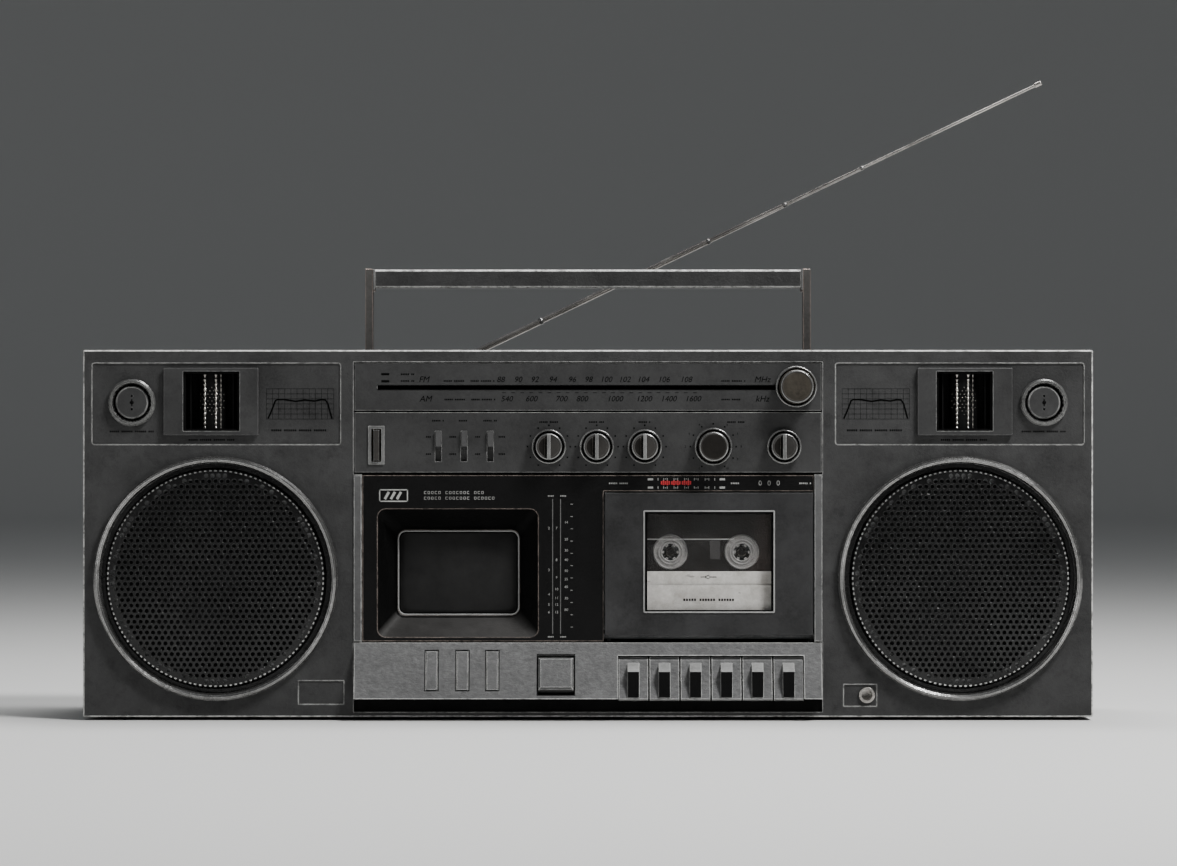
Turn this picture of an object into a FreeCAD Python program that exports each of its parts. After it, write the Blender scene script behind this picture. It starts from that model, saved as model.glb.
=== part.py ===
"""Portable stereo with a small television, a radio and a cassette recorder, in millimetres.

+X is to the right as seen from the front, +Y to the back and +Z up. The origin lies on the surface that the
rubber feet stand on, midway across the width and midway between the front of the tuning knob and the back.
"""

import FreeCAD
import Part
import math
import os

V = FreeCAD.Vector
X_AXIS = V(1, 0, 0)
Y_AXIS = V(0, 1, 0)

# ---------------------------------------------------------------- driving dimensions
WIDTH = 600.0
CABINET_HEIGHT = 218.0
DEPTH = 150.0
FOOT_HEIGHT = 2.0
KNOB_REACH = 16.0           # how far the tuning knob stands out of the front face
WALL = 3.0
EDGE = 1.2                  # rounding of the cabinet's outer edges
GAP = 0.4                   # gap round a panel

HALF = WIDTH / 2
FRONT = -(DEPTH + KNOB_REACH) / 2 + KNOB_REACH
BACK = FRONT + DEPTH
SEAM = FRONT + 60.0         # where the front and rear cabinets meet
BASE = FOOT_HEIGHT
TOP = BASE + CABINET_HEIGHT

# rear cabinet: a step across the back for the aerial and a well in the top for the folded handle
STEP_Z = 172.0
STEP_BACK = BACK - 15.0
WELL_HALF = 145.0
WELL_FLOOR = 203.0

# speakers
SPEAKER_X = 221.0
SPEAKER_Z = 84.4
SPEAKER_HOLE = 70.1
RING_OUT = 72.5
RING_IN = 68.4
GRILLE_FLAT = 63.2
GRILLE_RIM = 68.2
GRILLE_PITCH = 3.7
GRILLE_HOLE = 1.25
GRILLE_SKIN = 0.8
MAGNET_RADIUS = 32.0

# upper corner fields: microphone and tweeter
FIELD_X = (147.0, 294.6)
FIELD_Z = (163.8, 212.2)
FIELD_DEPTH = 1.0
MIC_X = 270.8
MIC_Z = 188.8
MIC_RING = 14.0
MIC_CUP = 11.6
MIC_CAP = 9.7
TWEETER_X = (195.6, 252.0)
TWEETER_Z = (169.3, 209.4)
HORN_X = (206.8, 240.3)
HORN_Z = (171.9, 207.3)
HORN_DEPTH = 14.0
HORN_CORE = 8.4             # radius of the rounded upright grille in the horn
HORN_FIN = 12.6             # how far a fin stands from the horn's middle

# shallow recessed plates low on the front: (X, Z)
LEFT_PLATE = ((-172.0, -145.0), (9.6, 23.6))
JACK_PLATE = ((151.8, 171.4), (8.4, 21.4))
PLATE_DEPTH = 0.8

# middle section
PANEL_HALF = 138.7
PILLAR_X = (134.4, 139.2)
MIDDLE_Z = (46.6, 146.2)
DIAL_Z = (184.0, 212.4)
CONTROL_Z = (147.3, 183.0)
DIAL_SLOT_X = (-125.0, 118.0)
DIAL_SLOT_Z = (196.7, 198.8)
POINTER_X = 114.5
TUNING = (123.6, 198.1)
SHAFT = 3.0
RUNNING = 0.06              # radial clearance of a shaft in its bearing
CONTROL_ROW_Z = 162.6
KNOB_X = {"balance_knob": -23.2, "treble_knob": 5.2, "bass_knob": 33.7, "tv_tuning_knob": 116.4}
KNOB_RADIUS = 10.4
VOLUME_X = 74.4
SWITCH_X = {"band_switch": -88.9, "stereo_switch": -73.6, "noise_switch": -58.0}
SWITCH_SLOT = (3.7, 18.0)
SWITCH_Z = 162.8
SWITCH_THUMB = 9.0
POWER_FRAME = ((-130.4, -121.0), (152.1, 174.8))
POWER_SLOT = ((-128.7, -122.7), (153.6, 173.2))

# television
FUNNEL_X = (-125.1, -29.6)
FUNNEL_Z = (49.3, 125.6)
SCREEN_X = (-113.6, -40.9)
SCREEN_Z = (61.9, 112.6)
FUNNEL_DEPTH = 19.0
FUNNEL_SKIN = 2.0
FUNNEL_CORNER = 5.0
TUBE_DOME = 200.0           # radius of the tube's face
TUBE_NECK = 10.0

# cassette deck
DOOR_X = (10.0, 133.6)
DOOR_Z = (50.5, 135.3)
WINDOW_X = (34.4, 109.5)
WINDOW_Z = (65.4, 123.3)
DOOR_HINGE = (-61.5, 52.5)
REEL_X = (49.1, 91.6)
REEL_Z = 99.8
TAPE_X = (20.2, 120.6)
TAPE_Z = (65.3, 129.1)
TAPE_Y = -56.25
TAPE_THIN = 8.7
TAPE_THICK = 11.8
TAPE_NOSE = 15.0            # how far up the thicker edge reaches
HUB_RADIUS = 10.4
HUB_BORE = 5.0
DOOR_PIN = 1.25
SPINDLE_SHAFT = 1.5
DECK_Y = (-46.5, -44.5)

# sloping sill with the piano keys
SILL_Z = (13.3, 46.2)
SILL_REACH = 12.0
SILL_SKIN = 2.2
SILL_ANGLE = math.degrees(math.atan(SILL_REACH / (SILL_Z[1] - SILL_Z[0])))
KEY_X = (17.7, 128.1)
KEY_COUNT = 6
KEY_TOP = 38.6
KEY_PIVOT = (-32.0, 24.0)
KEY_SHAFT = 2.0
KEY_NAMES = ("record", "play", "rewind", "forward", "stop", "pause")
FLUSH_X = {"channel_button_low": -92.7, "channel_button_mid": -74.4, "channel_button_high": -56.7}
FLUSH_SIZE = (7.0, 24.6)
FLUSH_Z = 29.9
EJECT_X = -19.0
EJECT_HALF = 10.3
EJECT_Z = (18.4, 36.9)
EJECT_REACH = 2.6

# carrying handle
HANDLE_PIVOT = (6.0, 212.0)
ARM_X = (130.5, 135.1)
ARM_HALF_DEPTH = 8.0
HANDLE_TOP = 270.4
GRIP_Z = (258.7, 269.9)
HANDLE_PIN = 2.5
FLANGE_SKIN = 1.3
BOSS_HALF = 9.0

# telescopic aerial
AERIAL_PIVOT = V(-145.0, 76.0, 185.0)
AERIAL_ANGLE = 25.5
AERIAL_RADII = (1.9, 1.65, 1.4, 1.15, 0.9)
AERIAL_SKIN = 0.2
AERIAL_ENDS = (129.7, 244.9, 297.6, 350.9, 473.3)
AERIAL_TUBE = 122.0
AERIAL_ROD = 130.0
AERIAL_PIN = 1.0
AERIAL_STUB = 3.0
CLIP_ALONG = (121.0, 125.0) # the clip that holds the folded aerial, from the pivot along X

# battery bay
BAY_X = (11.0, 260.0)
BAY_Z = (9.0, 79.0)
BAY_DEPTH = 36.0
BATTERY_HINGE = (81.6, 10.7)

# sockets, feet, screws and vents
HEADPHONE = (165.7, 15.1)
JACK_RADIUS = 4.1
HEADPHONE_BORE = 3.2
HEADPHONE_DEPTH = 28.0
INLET = (-250.0, 31.0)
INLET_HALF = (12.0, 9.0)
INLET_CORNER = 2.0
FEET = ((-268.0, -48.0), (268.0, -48.0), (-268.0, 64.0), (268.0, 64.0))
FOOT_RADIUS = 8.0
FOOT_RECESS = 1.2
SCREW_HEAD = 3.2
SCREW_SHANK = 1.6
VENT_COUNT = 14
VENT_PITCH = 9.0
VENT_CORNER = (-136.0, 118.0)
VENT_SIZE = (3.0, 36.0)
SCREWS = ((-286.0, 14.0), (286.0, 14.0), (-286.0, 158.0), (286.0, 158.0), (-20.0, 14.0), (-20.0, 158.0))


# ---------------------------------------------------------------- helpers
def box(x, y, z):
    """A block between three pairs of coordinates."""
    return Part.makeBox(x[1] - x[0], y[1] - y[0], z[1] - z[0], V(x[0], y[0], z[0]))


def rod(radius, start, end):
    """A cylinder from one point to another."""
    start, end = V(*start), V(*end)
    return Part.makeCylinder(radius, (end - start).Length, start, end - start)


def rod_y(radius, centre, y):
    """A cylinder along Y at an (x, z) centre."""
    return rod(radius, (centre[0], y[0], centre[1]), (centre[0], y[1], centre[1]))


def fuse(shapes):
    """One solid out of several that touch or overlap."""
    first, *rest = shapes
    return first.fuse(rest).removeSplitter() if rest else first


def edges_along(shape, axis):
    """The straight edges of a shape that run along an axis."""
    found = []
    for edge in shape.Edges:
        if isinstance(edge.Curve, Part.Line) and edge.tangentAt(edge.FirstParameter).cross(axis).Length < 1e-6:
            found.append(edge)
    return found


def edges_at(shape, **planes):
    """The edges that lie wholly in a plane, such as y=-67."""
    found = []
    for edge in shape.Edges:
        ends = [vertex.Point for vertex in edge.Vertexes]
        if all(abs(getattr(p, axis) - value) < 1e-6 for p in ends for axis, value in planes.items()):
            found.append(edge)
    return found


def slab(x, y, z, corner):
    """A block whose four edges along Y are rounded."""
    shape = box(x, y, z)
    return shape.makeFillet(corner, edges_along(shape, Y_AXIS))


def grown(pair, by):
    """A pair of coordinates moved apart on each side."""
    return (pair[0] - by, pair[1] + by)


def mirrored_pair(pair, side):
    """A pair of X coordinates on the left (-1) or on the right (1)."""
    return tuple(sorted((pair[0] * side, pair[1] * side)))


def turned(points, centre):
    """A solid of revolution about an axis along Y: points are (radius, y), centre is (x, z)."""
    wire = Part.makePolygon([V(r, y, 0) for r, y in points + [points[0]]])
    solid = Part.Face(wire).revolve(V(0, 0, 0), Y_AXIS, 360)
    solid.translate(V(centre[0], 0, centre[1]))
    return solid


def prism_x(points, x):
    """A polygon of (y, z) points drawn out along X."""
    wire = Part.makePolygon([V(x[0], y, z) for y, z in points + [points[0]]])
    return Part.Face(wire).extrude(V(x[1] - x[0], 0, 0))


def both_sides(make):
    """The same piece made for the left and for the right."""
    return [make(-1), make(1)]


def on_slope(shape):
    """Moves a shape from the sill's own frame, Z up its face and Y into it, to its place."""
    shape = shape.copy()
    shape.rotate(V(0, 0, 0), X_AXIS, -SILL_ANGLE)
    shape.translate(V(0, FRONT - SILL_REACH, SILL_Z[0]))
    return shape


def slope_z(z):
    """How far up the sill's face a height lies."""
    return (z - SILL_Z[0]) / math.cos(math.radians(SILL_ANGLE))


def on_aerial(shape):
    """Moves a shape from the aerial's own frame, X along it from its pivot, to its place."""
    shape = shape.copy()
    shape.rotate(V(0, 0, 0), Y_AXIS, -AERIAL_ANGLE)
    shape.translate(AERIAL_PIVOT)
    return shape


# ---------------------------------------------------------------- cabinet
def foot_recess(x, y):
    """The shallow round pocket in the floor that a foot sits in."""
    return rod(FOOT_RADIUS + 0.1, (x, y, BASE - 1), (x, y, BASE + FOOT_RECESS))


def front_cabinet():
    """The front half of the case, with its openings, its two upper fields and the middle pillars."""
    shell = box((-HALF, HALF), (FRONT, SEAM), (BASE, TOP))
    shell = shell.makeFillet(EDGE, edges_at(shell, y=FRONT) + edges_along(shell, Y_AXIS))
    cuts = [box(grown((-HALF, HALF), -WALL), (FRONT + WALL, SEAM + 1), grown((BASE, TOP), -WALL))]
    wall = (FRONT - 1, FRONT + WALL + 1)
    for side in (-1, 1):
        cuts += [
            rod_y(SPEAKER_HOLE, (side * SPEAKER_X, SPEAKER_Z), wall),
            slab(mirrored_pair(FIELD_X, side), (FRONT - 1, FRONT + FIELD_DEPTH), FIELD_Z, 1.5),
            rod_y(MIC_CUP + 0.1, (side * MIC_X, MIC_Z), wall),
            box(mirrored_pair(grown(HORN_X, 0.2), side), wall, grown(HORN_Z, 0.2)),
        ]
    opening = PILLAR_X[1]
    cuts += [
        box((-opening, opening), wall, (MIDDLE_Z[1], DIAL_Z[1] + GAP)),
        box((-PILLAR_X[0], PILLAR_X[0]), wall, grown(MIDDLE_Z, 1)),
        box((-opening, opening), wall, (BASE + WALL, MIDDLE_Z[0])),
        box(LEFT_PLATE[0], (FRONT - 1, FRONT + PLATE_DEPTH), LEFT_PLATE[1]),
        box(JACK_PLATE[0], (FRONT - 1, FRONT + PLATE_DEPTH), JACK_PLATE[1]),
        rod_y(JACK_RADIUS + 0.1, HEADPHONE, wall),
    ]
    cuts += [foot_recess(x, y) for x, y in FEET if y < SEAM]
    shell = shell.cut(cuts)
    pillars = [
        box(mirrored_pair(grown(PILLAR_X, -0.3), side), (FRONT - 1.0, FRONT + 0.5), grown(MIDDLE_Z, -0.8))
        for side in (-1, 1)
    ]
    return fuse([shell, *pillars])


def rear_cabinet():
    """The rear half of the case, with the handle well, the step for the aerial and the vents."""
    outer = prism_x(
        [(SEAM, BASE), (BACK, BASE), (BACK, STEP_Z), (STEP_BACK, STEP_Z), (STEP_BACK, TOP), (SEAM, TOP)],
        (-HALF, HALF),
    )
    rounded = [e for e in outer.Edges if all(v.Point.y > SEAM + 1 for v in e.Vertexes)]
    step_corner = edges_at(outer, y=STEP_BACK, z=STEP_Z)
    outer = outer.makeFillet(EDGE, [e for e in rounded if not any(e.isSame(s) for s in step_corner)])
    hollow = prism_x(
        [
            (SEAM - 1, BASE + WALL), (BACK - WALL, BASE + WALL), (BACK - WALL, STEP_Z - WALL),
            (STEP_BACK - WALL, STEP_Z - WALL), (STEP_BACK - WALL, TOP - WALL), (SEAM - 1, TOP - WALL),
        ],
        grown((-HALF, HALF), -WALL),
    )
    well = box((-WELL_HALF, WELL_HALF), (SEAM + WALL, BACK), (WELL_FLOOR, TOP + 1))
    well_walls = box(grown((-WELL_HALF, WELL_HALF), WALL), (SEAM - 2, BACK), (WELL_FLOOR - WALL, TOP))
    shell = outer.cut(hollow.cut(well_walls)).cut(well)

    py, pz = HANDLE_PIVOT
    bosses = []
    for side in (-1, 1):
        boss_x = mirrored_pair((ARM_X[1] + 0.7, WELL_HALF + 1), side)
        boss = box(boss_x, (py - BOSS_HALF, py + BOSS_HALF), (WELL_FLOOR - 1, TOP - 0.5))
        pin_hole = rod(HANDLE_PIN + RUNNING, (side * ARM_X[0], py, pz), (side * (WELL_HALF + 0.5), py, pz))
        bosses.append(boss.cut(pin_hole))
    clip_x = (AERIAL_PIVOT.x + CLIP_ALONG[0], AERIAL_PIVOT.x + CLIP_ALONG[1])
    clip = box(clip_x, (STEP_BACK - 0.5, BACK - 3.6), (181.0, 182.7)).fuse(
        [box(clip_x, (72.8, 74.0), (182.0, 187.5)), box(clip_x, (78.1, 79.3), (182.0, 187.5))]
    )
    shell = fuse([shell, *bosses, clip])

    back_wall = (BACK - WALL - 1, BACK + 1)
    cuts = [box(BAY_X, back_wall, BAY_Z)]
    hinge_y, hinge_z = BATTERY_HINGE
    cuts.append(rod(0.86, (BAY_X[0] - 2.6, hinge_y, hinge_z), (BAY_X[1] + 2.6, hinge_y, hinge_z)))
    inlet_x, inlet_z = inlet_outline(0.2)
    cuts.append(slab(inlet_x, back_wall, inlet_z, INLET_CORNER))
    pivot = (AERIAL_PIVOT.x, AERIAL_PIVOT.z)
    cuts.append(rod_y(AERIAL_STUB + RUNNING, pivot, (STEP_BACK - WALL - 1, STEP_BACK + 1)))
    vent_x, vent_z = VENT_CORNER
    for i in range(VENT_COUNT):
        x = vent_x + VENT_PITCH * i
        cuts.append(box((x, x + VENT_SIZE[0]), back_wall, (vent_z, vent_z + VENT_SIZE[1])))
    for x, z in SCREWS:
        cuts.append(rod_y(SCREW_HEAD + 0.3, (x, z), (BACK - 1.8, BACK + 1)))
        cuts.append(rod_y(SCREW_SHANK + 0.2, (x, z), (BACK - WALL - 1, BACK)))
    cuts += [foot_recess(x, y) for x, y in FEET if y > SEAM]
    return shell.cut(cuts)


def rubber_feet():
    feet = []
    for x, y in FEET:
        foot = rod(FOOT_RADIUS, (x, y, 0), (x, y, BASE + FOOT_RECESS))
        feet.append(foot.makeFillet(0.6, edges_at(foot, z=0)))
    return feet


def case_screws():
    screws = []
    for x, z in SCREWS:
        head = rod_y(SCREW_HEAD, (x, z), (BACK - 1.8, BACK - 0.3))
        shank = rod_y(SCREW_SHANK, (x, z), (BACK - 16, BACK - 1.8))
        cross = box((x - 2.0, x + 2.0), (BACK - 1.1, BACK), (z - 0.4, z + 0.4)).fuse(
            box((x - 0.4, x + 0.4), (BACK - 1.1, BACK), (z - 2.0, z + 2.0))
        )
        screws.append(fuse([head, shank]).cut(cross))
    return screws


# ---------------------------------------------------------------- speakers, tweeters and microphones
def speaker_rings():
    """The two metal rings round the speakers."""

    def ring(side):
        band = [
            (RING_IN, FRONT + WALL), (SPEAKER_HOLE - 0.1, FRONT + WALL), (SPEAKER_HOLE - 0.1, FRONT),
            (RING_OUT, FRONT), (RING_OUT, FRONT - 4.2), (RING_OUT - 1.0, FRONT - 5.6),
            (RING_OUT - 2.1, FRONT - 6.0), (RING_IN + 0.8, FRONT - 5.4), (RING_IN, FRONT - 3.6),
        ]
        return turned(band, (side * SPEAKER_X, SPEAKER_Z))

    return both_sides(ring)


def grille_holes(y):
    """Circles of the staggered hole pattern that lie inside the grille's flat part."""
    circles = []
    rows = int(GRILLE_FLAT / (GRILLE_PITCH * math.sqrt(3) / 2)) + 1
    for row in range(-rows, rows + 1):
        z = row * GRILLE_PITCH * math.sqrt(3) / 2
        for column in range(-rows, rows + 1):
            x = (column + 0.5 * (row % 2)) * GRILLE_PITCH
            if math.hypot(x, z) < GRILLE_FLAT - GRILLE_HOLE - 0.8:
                circles.append(Part.Wire(Part.makeCircle(GRILLE_HOLE, V(x, y, z), Y_AXIS)))
    return circles


def speaker_grilles():
    """Two dished sheets, perforated in the middle, that hide the woofers."""
    skin = GRILLE_SKIN
    face_y = FRONT - 2.4
    rim_y = FRONT + WALL - skin
    outline = Part.Wire(Part.makeCircle(GRILLE_FLAT, V(0, face_y, 0), Y_AXIS))
    sheet = Part.makeFace([outline, *grille_holes(face_y)], "Part::FaceMakerBullseye").extrude(V(0, skin, 0))
    rim = turned(
        [
            (GRILLE_FLAT, face_y), (GRILLE_FLAT + 0.8, face_y), (GRILLE_FLAT + 2.6, rim_y),
            (GRILLE_RIM, rim_y), (GRILLE_RIM, rim_y + skin), (GRILLE_FLAT + 2.0, rim_y + skin),
            (GRILLE_FLAT, face_y + skin),
        ],
        (0, 0),
    )
    grille = sheet.fuse(rim)
    placed = []
    for side in (-1, 1):
        copy = grille.copy()
        copy.translate(V(side * SPEAKER_X, 0, SPEAKER_Z))
        placed.append(copy)
    return placed


def woofer_baskets():
    """The two woofers' frames with their magnets."""
    back = FRONT + WALL

    def basket(side):
        profile = [
            (60.0, back), (76.0, back), (76.0, back + 2.0), (61.5, back + 2.0), (34.0, back + 35.0),
            (MAGNET_RADIUS, back + 35.0), (MAGNET_RADIUS, back + 52.0), (0.0, back + 52.0), (0.0, back + 34.0),
            (15.5, back + 34.0), (15.5, back + 33.0), (MAGNET_RADIUS, back + 33.0), (60.0, back + 1.0),
        ]
        return turned(profile, (side * SPEAKER_X, SPEAKER_Z))

    return both_sides(basket)


def woofer_cones():
    """The two woofers' moving cones: roll, cone, dust cap and coil former."""
    back = FRONT + WALL

    def cone(side):
        profile = [
            (59.6, back + 0.2), (56.0, back - 0.4), (52.0, back + 0.6), (49.5, back + 3.2),
            (16.0, back + 24.0), (12.0, back + 20.5), (6.0, back + 18.6), (0.0, back + 18.0),
            (0.0, back + 18.8), (6.0, back + 19.4), (11.6, back + 21.3), (13.6, back + 23.4),
            (13.6, back + 32.0), (14.4, back + 32.0), (14.4, back + 25.8), (49.9, back + 4.2),
            (52.5, back + 1.6), (56.0, back + 0.6), (59.6, back + 1.2),
        ]
        return turned(profile, (side * SPEAKER_X, SPEAKER_Z))

    return both_sides(cone)


def tweeter_bezels():
    """The raised frames round the tweeters."""

    def bezel(side):
        y = (FRONT - 2.5, FRONT + FIELD_DEPTH)
        frame = slab(mirrored_pair(TWEETER_X, side), y, TWEETER_Z, 0.8)
        frame = frame.makeFillet(0.5, edges_at(frame, y=y[0]))
        return frame.cut(box(mirrored_pair(HORN_X, side), grown(y, 1), HORN_Z))

    return both_sides(bezel)


def tweeter_horns():
    """The black horn box with the rounded upright grille that stands in it."""

    def horn(side):
        x = mirrored_pair(grown(HORN_X, -0.1), side)
        z = grown(HORN_Z, -0.1)
        y = (FRONT - 0.5, FRONT + HORN_DEPTH)
        tray = box(x, y, z).cut(box(grown(x, -1.2), (y[0] - 1, y[1] - 1.5), grown(z, -1.2)))
        middle = (x[0] + x[1]) / 2
        centre_y = y[1] - 4.0
        core = rod(HORN_CORE, (middle, centre_y, z[0] + 0.5), (middle, centre_y, z[1] - 0.5))
        core = core.common(box(grown(x, 1), (y[0], y[1] - 0.5), z))
        fins = [
            box(grown((fin_x, fin_x), 0.4), (y[0] + 4, y[1] - 1), grown(z, -0.5))
            for fin_x in (middle - HORN_FIN, middle + HORN_FIN)
        ]
        return fuse([tray, core, *fins])

    return both_sides(horn)


def microphones():
    """The cups of the built-in microphones and the capsules that stand in them."""
    face = FRONT + FIELD_DEPTH

    def cup(side):
        profile = [
            (MIC_CUP, face), (MIC_RING, face), (MIC_RING, face - 2.6), (MIC_RING - 0.9, face - 3.6),
            (MIC_RING - 2.2, face - 3.6), (MIC_CUP - 0.7, face - 2.0), (MIC_CUP - 0.7, face + 8.0),
            (0.0, face + 8.0), (0.0, face + 9.5), (MIC_CUP, face + 9.5),
        ]
        return turned(profile, (side * MIC_X, MIC_Z))

    def capsule(side):
        centre = (side * MIC_X, MIC_Z)
        profile = [
            (0.0, face + 8.0), (MIC_CAP, face + 8.0), (MIC_CAP, face - 1.4), (MIC_CAP - 0.8, face - 2.2),
            (0.0, face - 2.2),
        ]
        body = turned(profile, centre)
        holes = [rod_y(0.6, (centre[0], centre[1] + step), (face - 3, face - 0.6)) for step in (-3.9, 0, 3.9)]
        return body.cut(holes)

    return both_sides(cup) + both_sides(capsule)


# ---------------------------------------------------------------- middle panels
def centre_frame():
    """The steel frame behind the middle panels, which ties them to the front cabinet."""
    y = (FRONT + WALL + 0.1, FRONT + WALL + 1.6)
    plate = box((-144.0, 144.0), y, (BASE + WALL + 0.2, DIAL_Z[1] + 3.0))
    windows = [
        box((-130.0, 131.0), grown(y, 1), (187.0, 209.0)),
        box((-133.0, 134.0), grown(y, 1), (150.5, 179.5)),
        box(grown(FUNNEL_X, 3), grown(y, 1), grown(FUNNEL_Z, 2)),
        box((4.6, 138.8), grown(y, 1), (47.0, 142.4)),
        box((-134.0, 134.0), grown(y, 1), (15.0, 43.8)),
    ]
    return plate.cut(windows)


def dial_panel():
    """The upper panel with the pointer's slot and the tuning shaft's hole."""
    plate = box((-PANEL_HALF, PANEL_HALF), (FRONT + 0.6, FRONT + WALL), DIAL_Z)
    plate = plate.makeFillet(0.3, edges_at(plate, y=FRONT + 0.6))
    through = (FRONT - 1, FRONT + WALL + 1)
    return plate.cut([box(DIAL_SLOT_X, through, DIAL_SLOT_Z), rod_y(SHAFT + 0.4, TUNING, through)])


def control_panel():
    """The panel behind the knobs, with the power button's raised frame and the switches' slots."""
    plate = box((-PANEL_HALF, PANEL_HALF), (FRONT + 0.2, FRONT + WALL), CONTROL_Z)
    plate = plate.makeFillet(0.3, edges_at(plate, y=FRONT + 0.2))
    plate = plate.fuse(box(POWER_FRAME[0], (FRONT - 0.8, FRONT + WALL), POWER_FRAME[1]))
    through = (FRONT - 2, FRONT + WALL + 1)
    cuts = [box(POWER_SLOT[0], through, POWER_SLOT[1])]
    for x in [*KNOB_X.values(), VOLUME_X]:
        cuts.append(rod_y(SHAFT + 0.4, (x, CONTROL_ROW_Z), through))
    wide, tall = SWITCH_SLOT
    for x in SWITCH_X.values():
        cuts.append(box((x - wide / 2, x + wide / 2), through, (SWITCH_Z - tall / 2, SWITCH_Z + tall / 2)))
    return plate.cut(cuts)


def rounded_wire(x, z, y, corner):
    """A rounded rectangle in a plane across Y."""
    sheet = slab(x, (y, y + 1), z, corner)
    face = min(sheet.Faces, key=lambda f: f.CenterOfMass.y)
    return face.OuterWire


def funnel(x_front, z_front, x_back, z_back, y, corner):
    """A solid that narrows from one rounded rectangle to another."""
    wires = [rounded_wire(x_front, z_front, y[0], corner), rounded_wire(x_back, z_back, y[1], corner)]
    return Part.makeLoft(wires, True, True)


def tv_surround():
    """The black plate with the television's funnel; its right half is open for the cassette door."""
    plate_y = (FRONT + 1.2, FRONT + WALL)
    plate = box((-134.0, 134.0), plate_y, (MIDDLE_Z[0] + 0.4, MIDDLE_Z[1] - 0.6))
    plate = plate.cut(box((DOOR_X[0] - 0.8, 140.0), grown(plate_y, 1), (40.0, DOOR_Z[1] + 0.9)))
    y = (plate_y[0], plate_y[0] + FUNNEL_DEPTH)
    inside = funnel(FUNNEL_X, FUNNEL_Z, SCREEN_X, SCREEN_Z, y, FUNNEL_CORNER)
    outside = funnel(
        grown(FUNNEL_X, FUNNEL_SKIN), grown(FUNNEL_Z, FUNNEL_SKIN),
        grown(SCREEN_X, FUNNEL_SKIN), grown(SCREEN_Z, FUNNEL_SKIN), y, FUNNEL_CORNER + 1,
    )
    mouth = slab(FUNNEL_X, (plate_y[0] - 1, plate_y[0] + 0.01), FUNNEL_Z, FUNNEL_CORNER)
    outlet = slab(SCREEN_X, (y[1] - 0.01, y[1] + 1), SCREEN_Z, FUNNEL_CORNER)
    return fuse([plate, outside]).cut([inside, mouth, outlet])


def picture_tube():
    """The tube with its domed face, the deflection yoke on its neck and the socket board."""
    centre_x = (SCREEN_X[0] + SCREEN_X[1]) / 2
    centre_z = (SCREEN_Z[0] + SCREEN_Z[1]) / 2
    face_x, face_z = grown(SCREEN_X, -0.4), grown(SCREEN_Z, -0.4)
    face_y = FRONT + 18.0
    bulb_y = (face_y + 9.0, 8.0)
    corner = FUNNEL_CORNER - 0.4
    face = slab(face_x, (face_y - 1, bulb_y[0]), face_z, corner)
    face = face.common(Part.makeSphere(TUBE_DOME, V(centre_x, face_y + TUBE_DOME, centre_z)))
    end_x, end_z = grown((centre_x, centre_x), 13), grown((centre_z, centre_z), 13)
    bulb = funnel(face_x, face_z, end_x, end_z, bulb_y, corner)
    centre = (centre_x, centre_z)
    neck = rod_y(TUBE_NECK, centre, (bulb_y[1] - 0.01, 52.0))
    yoke = rod_y(21.0, centre, (9.0, 28.0)).cut(rod_y(TUBE_NECK + 0.2, centre, (8.0, 29.0)))
    board = slab(grown((centre_x, centre_x), 22), (52.2, 53.8), grown((centre_z, centre_z), 22), 3.0)
    return [fuse([face, bulb, neck]), yoke, board]


def control_board():
    """The circuit board with its five potentiometers, and the tuner block beside it."""
    board = box((-130.0, 130.0), (-48.0, -46.6), (150.0, 178.0))
    solids = [board]
    for x in [*KNOB_X.values(), VOLUME_X]:
        body = slab((x - 8, x + 8), (-57.0, -48.0), (CONTROL_ROW_Z - 8, CONTROL_ROW_Z + 8), 2.0)
        solids.append(body.cut(rod_y(SHAFT + RUNNING, (x, CONTROL_ROW_Z), (-58.0, -50.0))))
    x, z = TUNING
    tuner = box(grown((x, x), 11), (-57.0, -40.0), grown((z, z), 9))
    solids.append(tuner.cut(rod_y(SHAFT + RUNNING, TUNING, (-58.0, -50.0))))
    return solids


# ---------------------------------------------------------------- controls
def round_knob(centre, radius, reach, bar):
    """A turned knob with its shaft. With bar, a raised finger bar runs across its face."""
    skirt = FRONT - 1.0
    face = FRONT - reach
    rim = face if not bar else face + 2.6
    knob = rod_y(radius, centre, (rim, skirt))
    knob = knob.makeFillet(1.2, edges_at(knob, y=rim))
    pieces = [knob, rod_y(SHAFT, centre, (skirt - 0.5, -50.6))]
    if bar:
        x, z = centre
        grip = box((x - 1.8, x + 1.8), (face, rim + 1), (z - radius * 0.7, z + radius * 0.7))
        pieces.append(grip.makeFillet(0.7, edges_at(grip, y=face)))
    return fuse(pieces)


def dial_pointer():
    """The nib that shows in the dial's slot, on its carriage."""
    x = POINTER_X
    nib = box((x - 0.7, x + 0.7), (FRONT + 1.0, FRONT + 3.6), (DIAL_SLOT_Z[0] + 0.15, DIAL_SLOT_Z[1] - 0.15))
    carriage = box((x - 2.5, x + 2.5), (FRONT + 3.3, FRONT + 5.0), (192.5, 203.0))
    return fuse([nib, carriage])


def slide_switch(x):
    """A switch's thumb with the flange that keeps it behind the panel."""
    wide = SWITCH_SLOT[0] - 0.3
    top = SWITCH_Z + SWITCH_SLOT[1] / 2 - 0.2
    thumb = box((x - wide / 2, x + wide / 2), (FRONT - 2.0, FRONT + 4.0), (top - SWITCH_THUMB, top))
    thumb = thumb.makeFillet(0.4, edges_at(thumb, y=FRONT - 2.0))
    flange = box((x - 3.0, x + 3.0), (FRONT + 3.3, FRONT + 4.6), (top - SWITCH_THUMB - 2.0, top + 2.0))
    return fuse([thumb, flange])


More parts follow.
